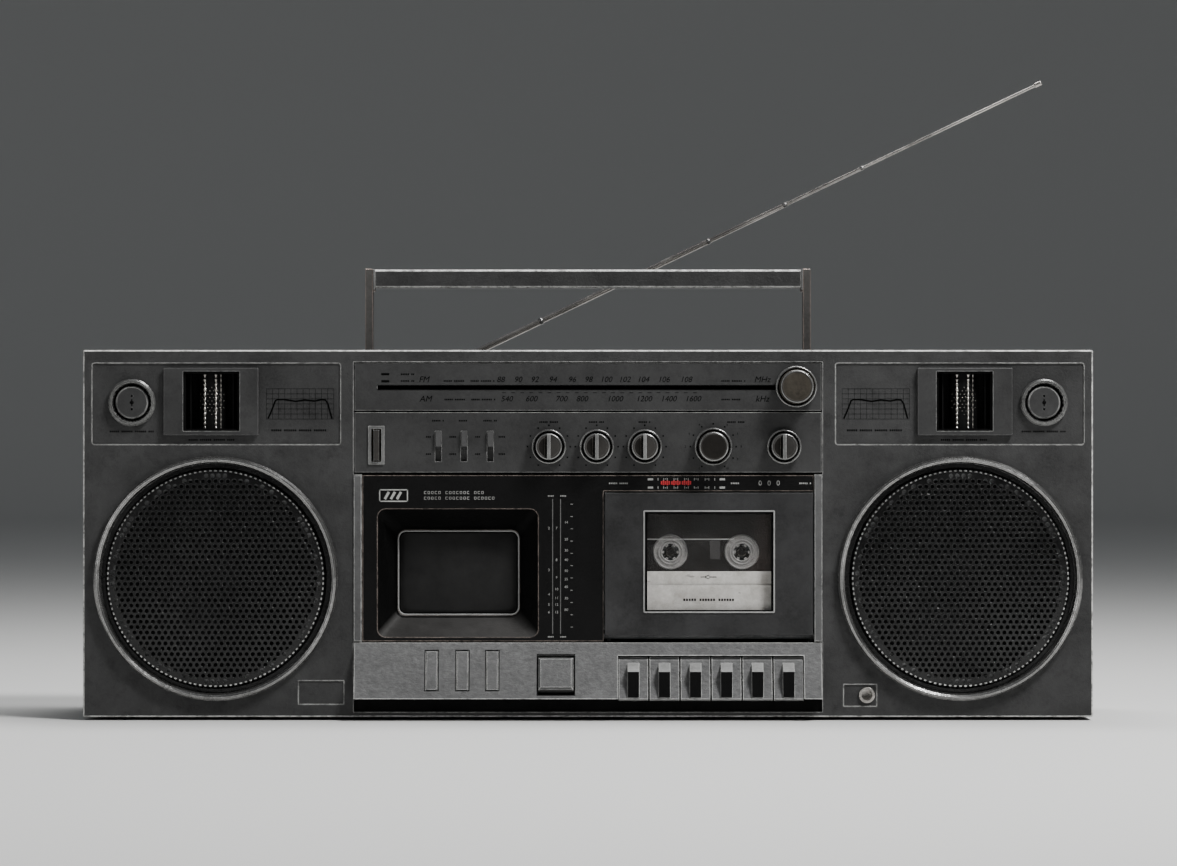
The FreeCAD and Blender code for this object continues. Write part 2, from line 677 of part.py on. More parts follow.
def power_button():
    """The upright bar in the power frame."""
    (x0, x1), (z0, z1) = POWER_SLOT
    middle = (x0 + x1) / 2
    bar = box((middle - 1.8, middle + 1.8), (FRONT - 2.4, FRONT + 8.0), (z0 + 0.6, z1 - 0.6))
    return bar.makeFillet(0.5, edges_at(bar, y=FRONT - 2.4))


# ---------------------------------------------------------------- cassette deck
def cassette_door():
    """The door panel with the window's raised rim, its hinge and the holder for the cassette."""
    face = FRONT - 1.0
    panel_y = (face, face + 2.8)
    panel = box(DOOR_X, panel_y, DOOR_Z)
    panel = panel.makeFillet(0.5, edges_at(panel, y=face))
    rim = slab(grown(WINDOW_X, 1.4), (face - 0.7, face + 0.5), grown(WINDOW_Z, 1.4), 0.8)
    hinge_y, hinge_z = DOOR_HINGE
    barrels = []
    for x in ((DOOR_X[0], DOOR_X[0] + 8.0), (DOOR_X[1] - 8.0, DOOR_X[1])):
        barrels.append(rod(1.9, (x[0], hinge_y, hinge_z), (x[1], hinge_y, hinge_z)))
        barrels.append(box(x, (panel_y[1] - 0.5, hinge_y), (hinge_z - 1.5, hinge_z + 1.5)))
    pins = [
        rod(DOOR_PIN, (DOOR_X[0] - 3.6, hinge_y, hinge_z), (DOOR_X[0] + 2, hinge_y, hinge_z)),
        rod(DOOR_PIN, (DOOR_X[1] - 2, hinge_y, hinge_z), (DOOR_X[1] + 3.6, hinge_y, hinge_z)),
    ]
    depth = (panel_y[1] - 0.5, -48.8)
    rail_z = (61.6, 128.0)
    holder = []
    for outer, inward in ((TAPE_X[0] - 1.6, 1), (TAPE_X[1] + 1.6, -1)):
        holder.append(box(sorted((outer, outer + 1.2 * inward)), depth, rail_z))
        holder.append(box(sorted((outer, outer + 5.0 * inward)), (depth[1] - 1, depth[1]), rail_z))
        holder.append(box(sorted((outer, outer + 17.4 * inward)), depth, (rail_z[0], TAPE_Z[0] - 0.7)))
    door = fuse([panel, rim, *barrels, *pins, *holder])
    return door.cut(box(WINDOW_X, grown(panel_y, 2), WINDOW_Z))


def door_window():
    """The clear pane in the door."""
    return box(grown(WINDOW_X, -0.1), (FRONT - 0.5, FRONT + 0.9), grown(WINDOW_Z, -0.1))


def cassette_shell():
    """The cassette's case, open at the front round its hubs, with the thicker edge at the tape opening."""
    thin = (TAPE_Y - TAPE_THIN / 2, TAPE_Y + TAPE_THIN / 2)
    thick = (TAPE_Y - TAPE_THICK / 2, TAPE_Y + TAPE_THICK / 2)
    case = slab(TAPE_X, thin, TAPE_Z, 1.5)
    nose = box(grown(TAPE_X, -5.8), thick, (TAPE_Z[0], TAPE_Z[0] + TAPE_NOSE))
    case = fuse([case, nose])
    cavity = box(grown(TAPE_X, -2.0), grown(thin, -1.1), (TAPE_Z[0] + TAPE_NOSE + 1.5, TAPE_Z[1] - 2.0))
    cuts = [cavity]
    for x in REEL_X:
        cuts.append(rod_y(HUB_RADIUS + 0.4, (x, REEL_Z), (thin[0] - 1, TAPE_Y)))
        cuts.append(rod_y(5.8, (x, REEL_Z), (TAPE_Y, thin[1] + 1)))
    return case.cut(cuts)


def tape_hub(x):
    """A hub with six drive teeth round its hole."""
    y = (TAPE_Y - 3.2, TAPE_Y + 3.1)
    hub = rod_y(HUB_RADIUS, (x, REEL_Z), y).cut(rod_y(HUB_BORE, (x, REEL_Z), grown(y, 1)))
    teeth = []
    for i in range(6):
        tooth = box((x - 0.7, x + 0.7), grown(y, -0.3), (REEL_Z + 3.8, REEL_Z + 5.4))
        tooth.rotate(V(x, 0, REEL_Z), Y_AXIS, 60 * i + 30)
        teeth.append(tooth)
    return fuse([hub, *teeth])


def reel_spindle(x):
    """A drive spindle with three fins, its shaft through the deck plate and its gear behind."""
    centre = (x, REEL_Z)
    core = rod_y(2.6, centre, (-57.0, -47.0))
    fins = []
    for i in range(3):
        fin = box((x - 0.5, x + 0.5), (-56.2, -47.4), (REEL_Z + 2.0, REEL_Z + 4.2))
        fin.rotate(V(x, 0, REEL_Z), Y_AXIS, 120 * i)
        fins.append(fin)
    shaft = rod_y(SPINDLE_SHAFT, centre, (-47.5, -42.0))
    gear = rod_y(9.0, centre, (-43.8, -41.6))
    return fuse([core, *fins, shaft, gear])


def deck_chassis():
    """The deck plate with the door's hinge ears, the head block, the key brackets and the key shaft."""
    plate = box((6.2, 137.4), DECK_Y, (47.6, 141.4))
    hinge_y, hinge_z = DOOR_HINGE
    ears = [box(x, (FRONT + WALL + 0.2, DECK_Y[0] + 1), (47.6, 57.5)) for x in ((6.2, 8.6), (135.0, 137.4))]
    brackets = [box(x, (DECK_Y[0], -26.0), (18.0, 50.0)) for x in ((11.6, 13.6), (132.4, 134.4))]
    head = slab((62.0, 80.0), (-58.5, DECK_Y[0] + 1), (55.0, 63.6), 1.0)
    plate = fuse([plate, *ears, *brackets, head])
    cuts = [rod(DOOR_PIN + RUNNING, (5.0, hinge_y, hinge_z), (139.0, hinge_y, hinge_z))]
    cuts += [rod_y(SPINDLE_SHAFT + RUNNING, (x, REEL_Z), grown(DECK_Y, 1)) for x in REEL_X]
    pivot_y, pivot_z = KEY_PIVOT
    cuts.append(rod(KEY_SHAFT + 0.02, (11.0, pivot_y, pivot_z), (135.0, pivot_y, pivot_z)))
    shaft = rod(KEY_SHAFT, (10.6, pivot_y, pivot_z), (135.4, pivot_y, pivot_z))
    return [plate.cut(cuts), shaft]


# ---------------------------------------------------------------- sloping sill, keys and buttons
def sill_panel():
    """The sloping wedge along the foot of the middle section, cut for the keys and buttons."""
    low, high = SILL_Z
    lean = SILL_REACH / (high - low)
    skin_y = SILL_SKIN / math.cos(math.radians(SILL_ANGLE))
    rear = FRONT + 2.4

    def face_y(z):
        return FRONT + lean * (z - high)

    wedge = prism_x(
        [(rear, high), (FRONT, high), (FRONT - SILL_REACH, low), (rear, low)], (-PANEL_HALF, PANEL_HALF)
    )
    inner_low, inner_high = low + SILL_SKIN, high - SILL_SKIN
    hollow = prism_x(
        [
            (rear + 1, inner_high), (face_y(inner_high) + skin_y, inner_high),
            (face_y(inner_low) + skin_y, inner_low), (rear + 1, inner_low),
        ],
        grown((-PANEL_HALF, PANEL_HALF), -SILL_SKIN),
    )
    cuts = [hollow, box(KEY_X, (FRONT - 20, rear + 1), (low - 1, KEY_TOP))]
    wide, tall = FLUSH_SIZE
    for x in FLUSH_X.values():
        middle = slope_z(FLUSH_Z)
        hole = box(grown((x, x), wide / 2), (-2, 4), grown((middle, middle), tall / 2))
        cuts.append(on_slope(hole))
    eject_z = (slope_z(EJECT_Z[0] - 2.6), slope_z(EJECT_Z[1] + 2.0))
    cuts.append(on_slope(box(grown((EJECT_X, EJECT_X), EJECT_HALF + 0.5), (-2, 4), eject_z)))
    return wedge.cut(cuts)


def flush_button(x):
    """A channel button, flush with the sill, on its flange."""
    wide, tall = FLUSH_SIZE[0] - 0.6, FLUSH_SIZE[1] - 0.6
    middle = slope_z(FLUSH_Z)
    cap = box((x - wide / 2, x + wide / 2), (0.0, 5.0), (middle - tall / 2, middle + tall / 2))
    cap = cap.makeFillet(0.3, edges_at(cap, y=0.0))
    flange = box((x - wide / 2 - 1.2, x + wide / 2 + 1.2), (2.8, 4.0), (middle - 8.0, middle + 8.0))
    return on_slope(fuse([cap, flange]))


def eject_button():
    """The square button that opens the cassette door, standing proud of the sill."""
    x = grown((EJECT_X, EJECT_X), EJECT_HALF)
    z = (slope_z(EJECT_Z[0]), slope_z(EJECT_Z[1]))
    cap = box(x, (-EJECT_REACH, 6.0), z)
    cap = cap.makeChamfer(1.2, edges_at(cap, y=-EJECT_REACH))
    flange = box(grown(x, 1.3), (2.6, 4.0), grown(z, -3.0))
    return on_slope(fuse([cap, flange]))


def piano_key(index):
    """A key's plate with its finger nub, on a lever that turns on the key shaft."""
    pitch = (KEY_X[1] - KEY_X[0]) / KEY_COUNT
    middle = KEY_X[0] + pitch * (index + 0.5)
    half = pitch / 2 - 0.5
    plate_outline = [(1.5, 0.4), (1.5, 24.4), (2.6, 27.0), (4.5, 27.0), (4.5, 0.4)]
    plate = prism_x(plate_outline, (middle - half, middle + half))
    nub_outline = [(2.0, 22.8), (1.5, 22.8), (-4.6, 16.6), (-4.6, 15.4), (0.6, 1.5), (2.0, 1.5)]
    nub = prism_x(nub_outline, (middle - 3.3, middle + 3.3))
    pivot_y, pivot_z = KEY_PIVOT
    lever = box((middle - 3.0, middle + 3.0), (-71.6, pivot_y), (pivot_z - 3.0, pivot_z + 3.0))
    eye = rod(4.0, (middle - 3.0, pivot_y, pivot_z), (middle + 3.0, pivot_y, pivot_z))
    key = fuse([on_slope(fuse([plate, nub])), lever, eye])
    return key.cut(rod(KEY_SHAFT + RUNNING, (middle - 9, pivot_y, pivot_z), (middle + 9, pivot_y, pivot_z)))


# ---------------------------------------------------------------- sockets and power
def headphone_jack():
    """The socket's barrel with the nut on the front."""
    barrel = rod_y(JACK_RADIUS, HEADPHONE, (FRONT + 0.2, FRONT + HEADPHONE_DEPTH + 2))
    nut = rod_y(4.9, HEADPHONE, (FRONT - 0.8, FRONT + 0.8))
    nut = nut.makeFillet(0.5, edges_at(nut, y=FRONT - 0.8))
    bore = rod_y(HEADPHONE_BORE, HEADPHONE, (FRONT - 2, FRONT - 0.8 + HEADPHONE_DEPTH))
    return fuse([nut, barrel]).cut(bore)


def inlet_outline(clearance):
    """The X and Z extents of the mains inlet's body, grown by a clearance."""
    return tuple(grown((at, at), half + clearance) for at, half in zip(INLET, INLET_HALF))


def ac_inlet():
    """The two-pole mains inlet with its pins."""
    x, z = INLET
    body_x, body_z = inlet_outline(0)
    body = slab(body_x, (BACK - 18.0, BACK - 0.2), body_z, INLET_CORNER)
    recess = slab((x - 7.4, x + 7.4), (BACK - 15.0, BACK + 1), (z - 4.6, z + 4.6), 3.6)
    pins = [rod_y(1.2, (x + step, z), (BACK - 15.5, BACK - 5.0)) for step in (-4.3, 4.3)]
    return fuse([body.cut(recess), *pins])


def mains_transformer():
    """Laminated core with the winding on its middle leg."""
    core = box((-275.0, -225.0), (30.0, 52.0), (10.0, 52.0))
    windows = [box((x, x + 9.0), (29.0, 53.0), (18.0, 44.0)) for x in (-267.0, -242.0)]
    winding = box((-266.6, -233.4), (26.0, 56.0), (18.4, 43.6))
    winding = winding.cut(box((-258.0, -242.0), (25.0, 57.0), (17.0, 45.0)))
    foot = box((-282.0, -218.0), (32.0, 50.0), (5.2, 10.0))
    return [fuse([core.cut(windows), foot]), winding]


def battery_tray():
    """The open box behind the battery door."""
    tray = box(grown(BAY_X, 2.0), (BACK - WALL - BAY_DEPTH - 2, BACK - WALL - 0.1), grown(BAY_Z, 2.0))
    return tray.cut(box(BAY_X, (BACK - WALL - BAY_DEPTH, BACK), BAY_Z))


def battery_door():
    """The cover of the battery bay, on a hinge along its lower edge, with finger grooves."""
    hinge_y, hinge_z = BATTERY_HINGE
    x = grown(BAY_X, -0.4)
    panel = box(x, (BACK - 2.8, BACK), (hinge_z, BAY_Z[1] - 0.4))
    panel = panel.makeFillet(0.5, edges_at(panel, y=BACK, z=BAY_Z[1] - 0.4))
    knuckle = rod(1.4, (x[0], hinge_y, hinge_z), (x[1], hinge_y, hinge_z))
    pin = rod(0.8, (x[0] - 2.4, hinge_y, hinge_z), (x[1] + 2.4, hinge_y, hinge_z))
    grooves = [box((110.0 + 8 * i, 114.0 + 8 * i), (BACK - 0.7, BACK + 1), (66.0, 75.0)) for i in range(7)]
    return fuse([panel, knuckle, pin]).cut(grooves)


# ---------------------------------------------------------------- handle and aerial
def handle_arms():
    """Two flat arms with a round foot, a pivot pin and a flange that holds the grip's end."""
    pivot_y, pivot_z = HANDLE_PIVOT
    depth = (pivot_y - ARM_HALF_DEPTH, pivot_y + ARM_HALF_DEPTH)

    def arm(side):
        x = mirrored_pair(ARM_X, side)
        bar = box(x, depth, (pivot_z, HANDLE_TOP))
        bar = bar.makeFillet(0.8, edges_at(bar, z=HANDLE_TOP))
        foot = rod(ARM_HALF_DEPTH, (x[0], pivot_y, pivot_z), (x[1], pivot_y, pivot_z))
        flange_x = mirrored_pair((ARM_X[0] - FLANGE_SKIN, ARM_X[0] + 0.5), side)
        flange = box(flange_x, grown(depth, -0.8), (GRIP_Z[0] - 2.1, HANDLE_TOP - 0.4))
        pin_start, pin_end = side * (ARM_X[0] + 1), side * (WELL_HALF - 0.6)
        pin = rod(HANDLE_PIN, (pin_start, pivot_y, pivot_z), (pin_end, pivot_y, pivot_z))
        return fuse([bar, foot, flange, pin])

    return both_sides(arm)


def handle_grip():
    """The bar between the arms."""
    pivot_y = HANDLE_PIVOT[0]
    end = ARM_X[0] - FLANGE_SKIN
    grip = box((-end, end), (pivot_y - ARM_HALF_DEPTH, pivot_y + ARM_HALF_DEPTH), GRIP_Z)
    return grip.makeFillet(1.6, edges_along(grip, X_AXIS))


def aerial_base():
    """The turning foot on the cabinet's step, with two ears and the tilt pin."""
    stub = rod(AERIAL_STUB, (0, -13.0, 0), (0, -7.5, 0))
    keeper = rod(5.0, (0, -13.2, 0), (0, -11.2, 0))
    disc = rod(9.0, (0, -7.7, 0), (0, -4.5, 0))
    disc = disc.makeFillet(0.8, edges_at(disc, y=-4.5))
    ears = [box((-4.5, 4.5), (-5.0, 3.4), z) for z in ((-3.9, -2.3), (2.3, 3.9))]
    foot = fuse([stub, keeper, disc, *ears]).cut(rod(AERIAL_PIN, (0, 0, -5), (0, 0, 5)))
    return [on_aerial(foot), on_aerial(rod(AERIAL_PIN - 0.05, (0, 0, -4.2), (0, 0, 4.2)))]


def aerial_section(index):
    """One tube of the telescope, or its last rod with the end button."""
    radius = AERIAL_RADII[index]
    end = AERIAL_ENDS[index]
    if index == 0:
        eye = box((-3.4, 7.0), (-2.1, 2.1), (-2.1, 2.1))
        eye = eye.makeFillet(1.2, edges_at(eye, x=-3.4) + edges_along(eye, X_AXIS))
        tube = rod(radius, (6.0, 0, 0), (end, 0, 0))
        shape = fuse([eye, tube])
        bore = rod(radius - AERIAL_SKIN, (8.0, 0, 0), (end + 1, 0, 0))
        shape = shape.cut([rod(AERIAL_PIN, (0, 0, -4), (0, 0, 4)), bore])
    elif index < len(AERIAL_RADII) - 1:
        start = end - AERIAL_TUBE
        shape = rod(radius, (start, 0, 0), (end, 0, 0))
        shape = shape.cut(rod(radius - AERIAL_SKIN, (start - 1, 0, 0), (end + 1, 0, 0)))
    else:
        tip = rod(radius + 0.6, (end - 5.0, 0, 0), (end, 0, 0))
        tip = tip.makeFillet(0.7, edges_at(tip, x=end) + edges_at(tip, x=end - 5.0))
        shape = fuse([rod(radius, (end - AERIAL_ROD, 0, 0), (end - 1, 0, 0)), tip])
    return on_aerial(shape)


# ---------------------------------------------------------------- assembly
def all_nodes():
    nodes = {
        "front_cabinet": front_cabinet(),
        "rear_cabinet": rear_cabinet(),
        "rubber_feet": rubber_feet(),
        "case_screws": case_screws(),
        "speaker_rings": speaker_rings(),
        "speaker_grilles": speaker_grilles(),
        "woofer_baskets": woofer_baskets(),
        "woofer_cones": woofer_cones(),
        "tweeter_bezels": tweeter_bezels(),
        "tweeter_horns": tweeter_horns(),
        "microphones": microphones(),
        "centre_frame": centre_frame(),
        "dial_panel": dial_panel(),
        "control_panel": control_panel(),
        "tv_surround": tv_surround(),
        "picture_tube": picture_tube(),
        "control_board": control_board(),
        "sill_panel": sill_panel(),
        "headphone_jack": headphone_jack(),
        "ac_inlet": ac_inlet(),
        "mains_transformer": mains_transformer(),
        "battery_tray": battery_tray(),
        "battery_door": battery_door(),
        "deck_chassis": deck_chassis(),
        "cassette_door": cassette_door(),
        "door_window": door_window(),
        "cassette_shell": cassette_shell(),
        "supply_hub": tape_hub(REEL_X[0]),
        "takeup_hub": tape_hub(REEL_X[1]),
        "supply_spindle": reel_spindle(REEL_X[0]),
        "takeup_spindle": reel_spindle(REEL_X[1]),
        "tuning_knob": round_knob(TUNING, 12.4, KNOB_REACH, False),
        "volume_knob": round_knob((VOLUME_X, CONTROL_ROW_Z), 11.3, 14.0, False),
        "dial_pointer": dial_pointer(),
        "power_button": power_button(),
        "eject_button": eject_button(),
        "handle_arms": handle_arms(),
        "handle_grip": handle_grip(),
        "aerial_base": aerial_base(),
    }
    for name, x in KNOB_X.items():
        nodes[name] = round_knob((x, CONTROL_ROW_Z), KNOB_RADIUS, 13.5, True)
    for name, x in SWITCH_X.items():
        nodes[name] = slide_switch(x)
    for name, x in FLUSH_X.items():
        nodes[name] = flush_button(x)
    for index, name in enumerate(KEY_NAMES):
        nodes[name + "_key"] = piano_key(index)
    for index in range(len(AERIAL_RADII)):
        nodes[f"aerial_section_{index + 1}"] = aerial_section(index)
    return nodes


def main():
    os.makedirs("parts", exist_ok=True)
    for name, made in all_nodes().items():
        shapes = made if isinstance(made, list) else [made]
        solids = [solid for shape in shapes for solid in shape.Solids]
        whole = Part.makeCompound(solids)
        if not whole.isValid() or any(solid.Volume <= 0 for solid in solids):
            print("check the shape of", name)
        print(name, len(solids), "solids", round(whole.Volume / 1000, 2), "cm3")
        whole.exportStep(os.path.join("parts", name + ".step"))


main()
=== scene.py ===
import math

import bmesh
import bpy
from mathutils import Matrix, Vector


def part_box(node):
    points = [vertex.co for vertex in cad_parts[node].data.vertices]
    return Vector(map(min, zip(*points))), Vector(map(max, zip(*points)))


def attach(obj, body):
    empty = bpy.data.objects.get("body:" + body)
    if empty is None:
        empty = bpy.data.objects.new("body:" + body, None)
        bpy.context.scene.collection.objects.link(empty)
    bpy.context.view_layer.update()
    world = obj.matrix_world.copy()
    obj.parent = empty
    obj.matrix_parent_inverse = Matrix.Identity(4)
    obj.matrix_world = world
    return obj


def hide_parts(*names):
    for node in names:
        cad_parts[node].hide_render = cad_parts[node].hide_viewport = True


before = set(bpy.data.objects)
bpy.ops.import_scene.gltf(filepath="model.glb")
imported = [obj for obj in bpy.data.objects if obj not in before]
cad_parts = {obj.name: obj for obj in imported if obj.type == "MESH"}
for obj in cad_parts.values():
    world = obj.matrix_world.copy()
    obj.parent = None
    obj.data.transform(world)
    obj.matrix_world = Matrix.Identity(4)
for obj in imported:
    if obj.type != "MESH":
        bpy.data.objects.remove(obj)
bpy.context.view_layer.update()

MM = 0.001


# -------------------- places, in millimetres, from the frame
def low(node):
    """The lowest corner of a node's box."""
    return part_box(node)[0] / MM


def high(node):
    """The highest corner of a node's box."""
    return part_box(node)[1] / MM


def centre(node):
    """The middle of a node's box."""
    return (low(node) + high(node)) / 2


# the planes across Y of the front's faces
FRONT = low("dial_panel").y - 0.6
DIAL_FACE = low("dial_panel").y
PANEL_FACE = FRONT + 0.2
PLATE_FACE = low("tv_surround").y
FIELD_FACE = FRONT + 1.0
DOOR_FACE = FRONT - 1.0

# speakers, microphones, tweeters and screen
SPEAKER_Z = centre("speaker_rings").z
SPEAKER_X = high("speaker_rings").x - (high("speaker_rings").z - SPEAKER_Z)
MIC_Z = centre("microphones").z
MIC_X = high("microphones").x - (high("microphones").z - MIC_Z)
HORN_Z = (low("tweeter_horns").z, high("tweeter_horns").z)
HORN_X = 223.5
SCREEN_X = (low("picture_tube").x, high("picture_tube").x)
SCREEN_Z = (low("picture_tube").z, high("picture_tube").z)

# the microphones' radii: the disc, the groove round it and the bead inside the outer ring
MIC_DISC = 9.75
MIC_GROOVE = 11.4
MIC_BEAD = (12.2, 14.2)

# the cabinet's pillars beside the middle, and the space inside its outer faces
PILLAR_X = (134.0, 139.6)
INSIDE_X = 299
INSIDE_Z = (3, 219)

# the switches' slots, and the rows of the dial
SWITCHES = ("band_switch", "stereo_switch", "noise_switch")
SLOT_Z = 162.8
FM_ROW = 202.4
AM_ROW = 190.9

# the raised part of a key, in the sill's frame: half its width, its depth and the foot of its nub
KEY_HALF = 3.25
KEY_DEPTH = 1.4
NUB_FOOT = 15.3

# the aerial's first four tubes
AERIAL_RADII = (1.9, 1.65, 1.4, 1.15)


# -------------------- materials
class Nodes:
    """A short way to write a material's nodes."""

    def __init__(self, name):
        self.material = bpy.data.materials.new(name)
        self.material.use_nodes = True
        self.tree = self.material.node_tree
        self.shader = self.tree.nodes["Principled BSDF"]
        self.coords = self.tree.nodes.new("ShaderNodeTexCoord").outputs["Object"]

    def link(self, source, target):
        self.tree.links.new(source, target)

    def feed(self, socket, source):
        """Links a result to one of the shader's sockets."""
        self.link(source, self.shader.inputs[socket])

    def hold(self, socket, value):
        """Sets one of the shader's sockets to a constant."""
        self.shader.inputs[socket].default_value = value

    def noise(self, scale, detail=3.0, rough=0.55, stretch=None):
        """Noise in the object's own metres, stretched along an axis where asked."""
        node = self.tree.nodes.new("ShaderNodeTexNoise")
        node.inputs["Scale"].default_value = scale
        node.inputs["Detail"].default_value = detail
        node.inputs["Roughness"].default_value = rough
        source = self.coords
        if stretch:
            mapping = self.tree.nodes.new("ShaderNodeMapping")
            mapping.inputs["Scale"].default_value = stretch
            self.link(self.coords, mapping.inputs["Vector"])
            source = mapping.outputs["Vector"]
        self.link(source, node.inputs["Vector"])
        return node.outputs["Fac"]

    def spread(self, value, start, end, low_out=0.0, high_out=1.0):
        """A value mapped from start..end to low_out..high_out, clamped."""
        node = self.tree.nodes.new("ShaderNodeMapRange")
        keys = ("From Min", "From Max", "To Min", "To Max")
        for key, number in zip(keys, (start, end, low_out, high_out)):
            node.inputs[key].default_value = number
        self.link(value, node.inputs["Value"])
        return node.outputs["Result"]

    def math(self, kind, first, second):
        node = self.tree.nodes.new("ShaderNodeMath")
        node.operation = kind
        for socket, value in zip(node.inputs, (first, second)):
            if isinstance(value, (int, float)):
                socket.default_value = value
            else:
                self.link(value, socket)
        return node.outputs["Value"]

    def times(self, first, second):
        return self.math("MULTIPLY", first, second)

    def mix(self, factor, first, second):
        node = self.tree.nodes.new("ShaderNodeMix")
        node.data_type = "RGBA"
        self.link(factor, node.inputs["Factor"])
        for key, value in (("A", first), ("B", second)):
            socket = next(s for s in node.inputs if s.name == key and s.type == "RGBA")
            if isinstance(value, tuple):
                socket.default_value = (*value, 1.0)
            else:
                self.link(value, socket)
        return next(s for s in node.outputs if s.type == "RGBA")

    def rounded_normal(self, radius):
        """The surface's normal as if its edges were rounded."""
        bevel = self.tree.nodes.new("ShaderNodeBevel")
        bevel.samples = 6
        bevel.inputs["Radius"].default_value = radius * MM
        return bevel.outputs["Normal"]

    def edges(self, radius):
        """One near a sharp edge, nothing on a flat."""
        geometry = self.tree.nodes.new("ShaderNodeNewGeometry")
        dot = self.tree.nodes.new("ShaderNodeVectorMath")
        dot.operation = "DOT_PRODUCT"
        self.link(self.rounded_normal(radius), dot.inputs[0])
        self.link(geometry.outputs["Normal"], dot.inputs[1])
        return self.spread(dot.outputs["Value"], 0.995, 0.9)

    def normal_parts(self):
        """The three parts of the face's true normal."""
        geometry = self.tree.nodes.new("ShaderNodeNewGeometry")
        split = self.tree.nodes.new("ShaderNodeSeparateXYZ")
        self.link(geometry.outputs["True Normal"], split.inputs[0])
        return split.outputs

    def fillets(self):
        """One on the rounded edges of a box-like shape, nothing on its flat sides."""
        sizes = [self.math("ABSOLUTE", part, 0.0) for part in self.normal_parts()]
        largest = self.math("MAXIMUM", self.math("MAXIMUM", sizes[0], sizes[1]), sizes[2])
        return self.spread(largest, 0.985, 0.93)

    def upward(self):
        """One on surfaces that face up, where dust settles and where light from above is painted."""
        return self.spread(self.normal_parts()[2], 0.15, 0.6)

    def bump(self, height, distance, rounding=None):
        """Relief of a distance in millimetres, over edges rounded where asked."""
        node = self.tree.nodes.new("ShaderNodeBump")
        node.inputs["Distance"].default_value = distance * MM
        self.link(height, node.inputs["Height"])
        if rounding:
            self.link(self.rounded_normal(rounding), node.inputs["Normal"])
        self.link(node.outputs["Normal"], self.shader.inputs["Normal"])


def grey(value):
    return (value, value, value)


def shade(colour, factor):
    """A colour made lighter or darker."""
    return tuple(min(1.0, channel * factor) for channel in colour)


def finish(name, colour, rough, metal=0.0, blotch=0.3, grain=0.05, wear_and_highlight=None, fillets=0.0, dust_and_top_light=0.0,
           scratches=0.25, rounding=None, gloss=0.35):
    """A worn, slightly dirty surface: clouds, smudges, grit, scratches, dust that also paints light on
    upward faces, and bright edges that are partly wear and partly painted highlight.
    """
    nodes = Nodes(name)
    clouds = nodes.spread(nodes.noise(26.0, 7.0, 0.68), 0.36, 0.64)
    smudges = nodes.spread(nodes.noise(95.0, 5.0, 0.72), 0.48, 0.7)
    grit = nodes.spread(nodes.noise(620.0, 3.0, 0.7), 0.35, 0.7)
    base = nodes.mix(clouds, shade(colour, 1 - blotch), shade(colour, 1 + blotch))
    base = nodes.mix(nodes.times(smudges, 0.6), base, shade(colour, 1 - 1.9 * blotch))
    base = nodes.mix(nodes.times(grit, 0.35), base, shade(colour, 1.6))
    if scratches:
        lines = nodes.spread(nodes.noise(70.0, 4.0, 0.75, (1.0, 1.0, 9.0)), 0.66, 0.71)
        cross = nodes.spread(nodes.noise(55.0, 4.0, 0.75, (7.0, 1.0, 2.0)), 0.68, 0.73)
        marks = nodes.times(nodes.math("MAXIMUM", lines, cross), scratches)
        base = nodes.mix(marks, base, shade(colour, 2.2))
    # upward faces made lighter: partly settled dust, partly painted light from above
    if dust_and_top_light:
        settled_dust_and_light = nodes.times(nodes.upward(), nodes.spread(clouds, 0, 1, 0.5 * dust_and_top_light, dust_and_top_light))
        base = nodes.mix(settled_dust_and_light, base, (0.16, 0.155, 0.15))
    roughness = nodes.spread(smudges, 0, 1, rough - 0.08, rough + 0.12)
    # bright edges and fillets: partly wear, partly a painted highlight where edges catch the light
    if wear_and_highlight:
        worn_and_lit_colour, amount, radius = wear_and_highlight
        breaks = nodes.spread(nodes.noise(260.0, 5.0, 0.75), 0.38, 0.56)
        edge = nodes.edges(radius)
        worn_and_lit = nodes.times(edge, nodes.spread(breaks, 0, 1, 0.25 * amount, amount))
        worn_and_lit = nodes.times(worn_and_lit, nodes.spread(clouds, 0, 1, 1.0, 0.55))
        if fillets:
            patches = nodes.spread(breaks, 0, 1, 0.3 * fillets, fillets)
            rubbed_and_highlit = nodes.times(nodes.fillets(), patches)
            worn_and_lit = nodes.math("MAXIMUM", worn_and_lit, rubbed_and_highlit)
        base = nodes.mix(worn_and_lit, base, worn_and_lit_colour)
        roughness = nodes.math("SUBTRACT", roughness, nodes.times(worn_and_lit, 0.12))
    nodes.hold("Metallic", metal)
    nodes.hold("Specular IOR Level", gloss)
    nodes.feed("Base Color", base)
    nodes.feed("Roughness", roughness)
    nodes.bump(nodes.math("ADD", nodes.times(clouds, 0.5), grit), grain, rounding)
    return nodes.material


def rough_grain():
    """The sill's coarse, pebbled plastic."""
    nodes = Nodes("sill_grain")
    colour = grey(0.112)
    clouds = nodes.spread(nodes.noise(30.0, 7.0, 0.65), 0.34, 0.66)
    pebble = nodes.spread(nodes.noise(300.0, 4.0, 0.7, (1.0, 1.0, 1.6)), 0.3, 0.7)
    base = nodes.mix(clouds, shade(colour, 0.72), shade(colour, 1.2))
    base = nodes.mix(nodes.times(pebble, 0.75), base, shade(colour, 0.45))
    stains = nodes.spread(nodes.noise(85.0, 5.0, 0.75), 0.6, 0.78)
    base = nodes.mix(nodes.times(stains, 0.7), base, shade(colour, 0.3))
    lines = nodes.spread(nodes.noise(60.0, 4.0, 0.75, (6.0, 1.0, 2.0)), 0.67, 0.72)
    base = nodes.mix(nodes.times(lines, 0.3), base, grey(0.3))
    # bright edges on the sill: partly wear, partly painted highlight
    breaks = nodes.spread(nodes.noise(300.0, 4.0), 0.3, 0.55, 0.3, 0.9)
    worn_and_lit = nodes.times(nodes.edges(0.9), breaks)
    base = nodes.mix(worn_and_lit, base, (0.6, 0.6, 0.58))
    nodes.feed("Base Color", base)
    nodes.feed("Roughness", nodes.spread(pebble, 0, 1, 0.5, 0.75))
    nodes.bump(pebble, 0.3)
    return nodes.material


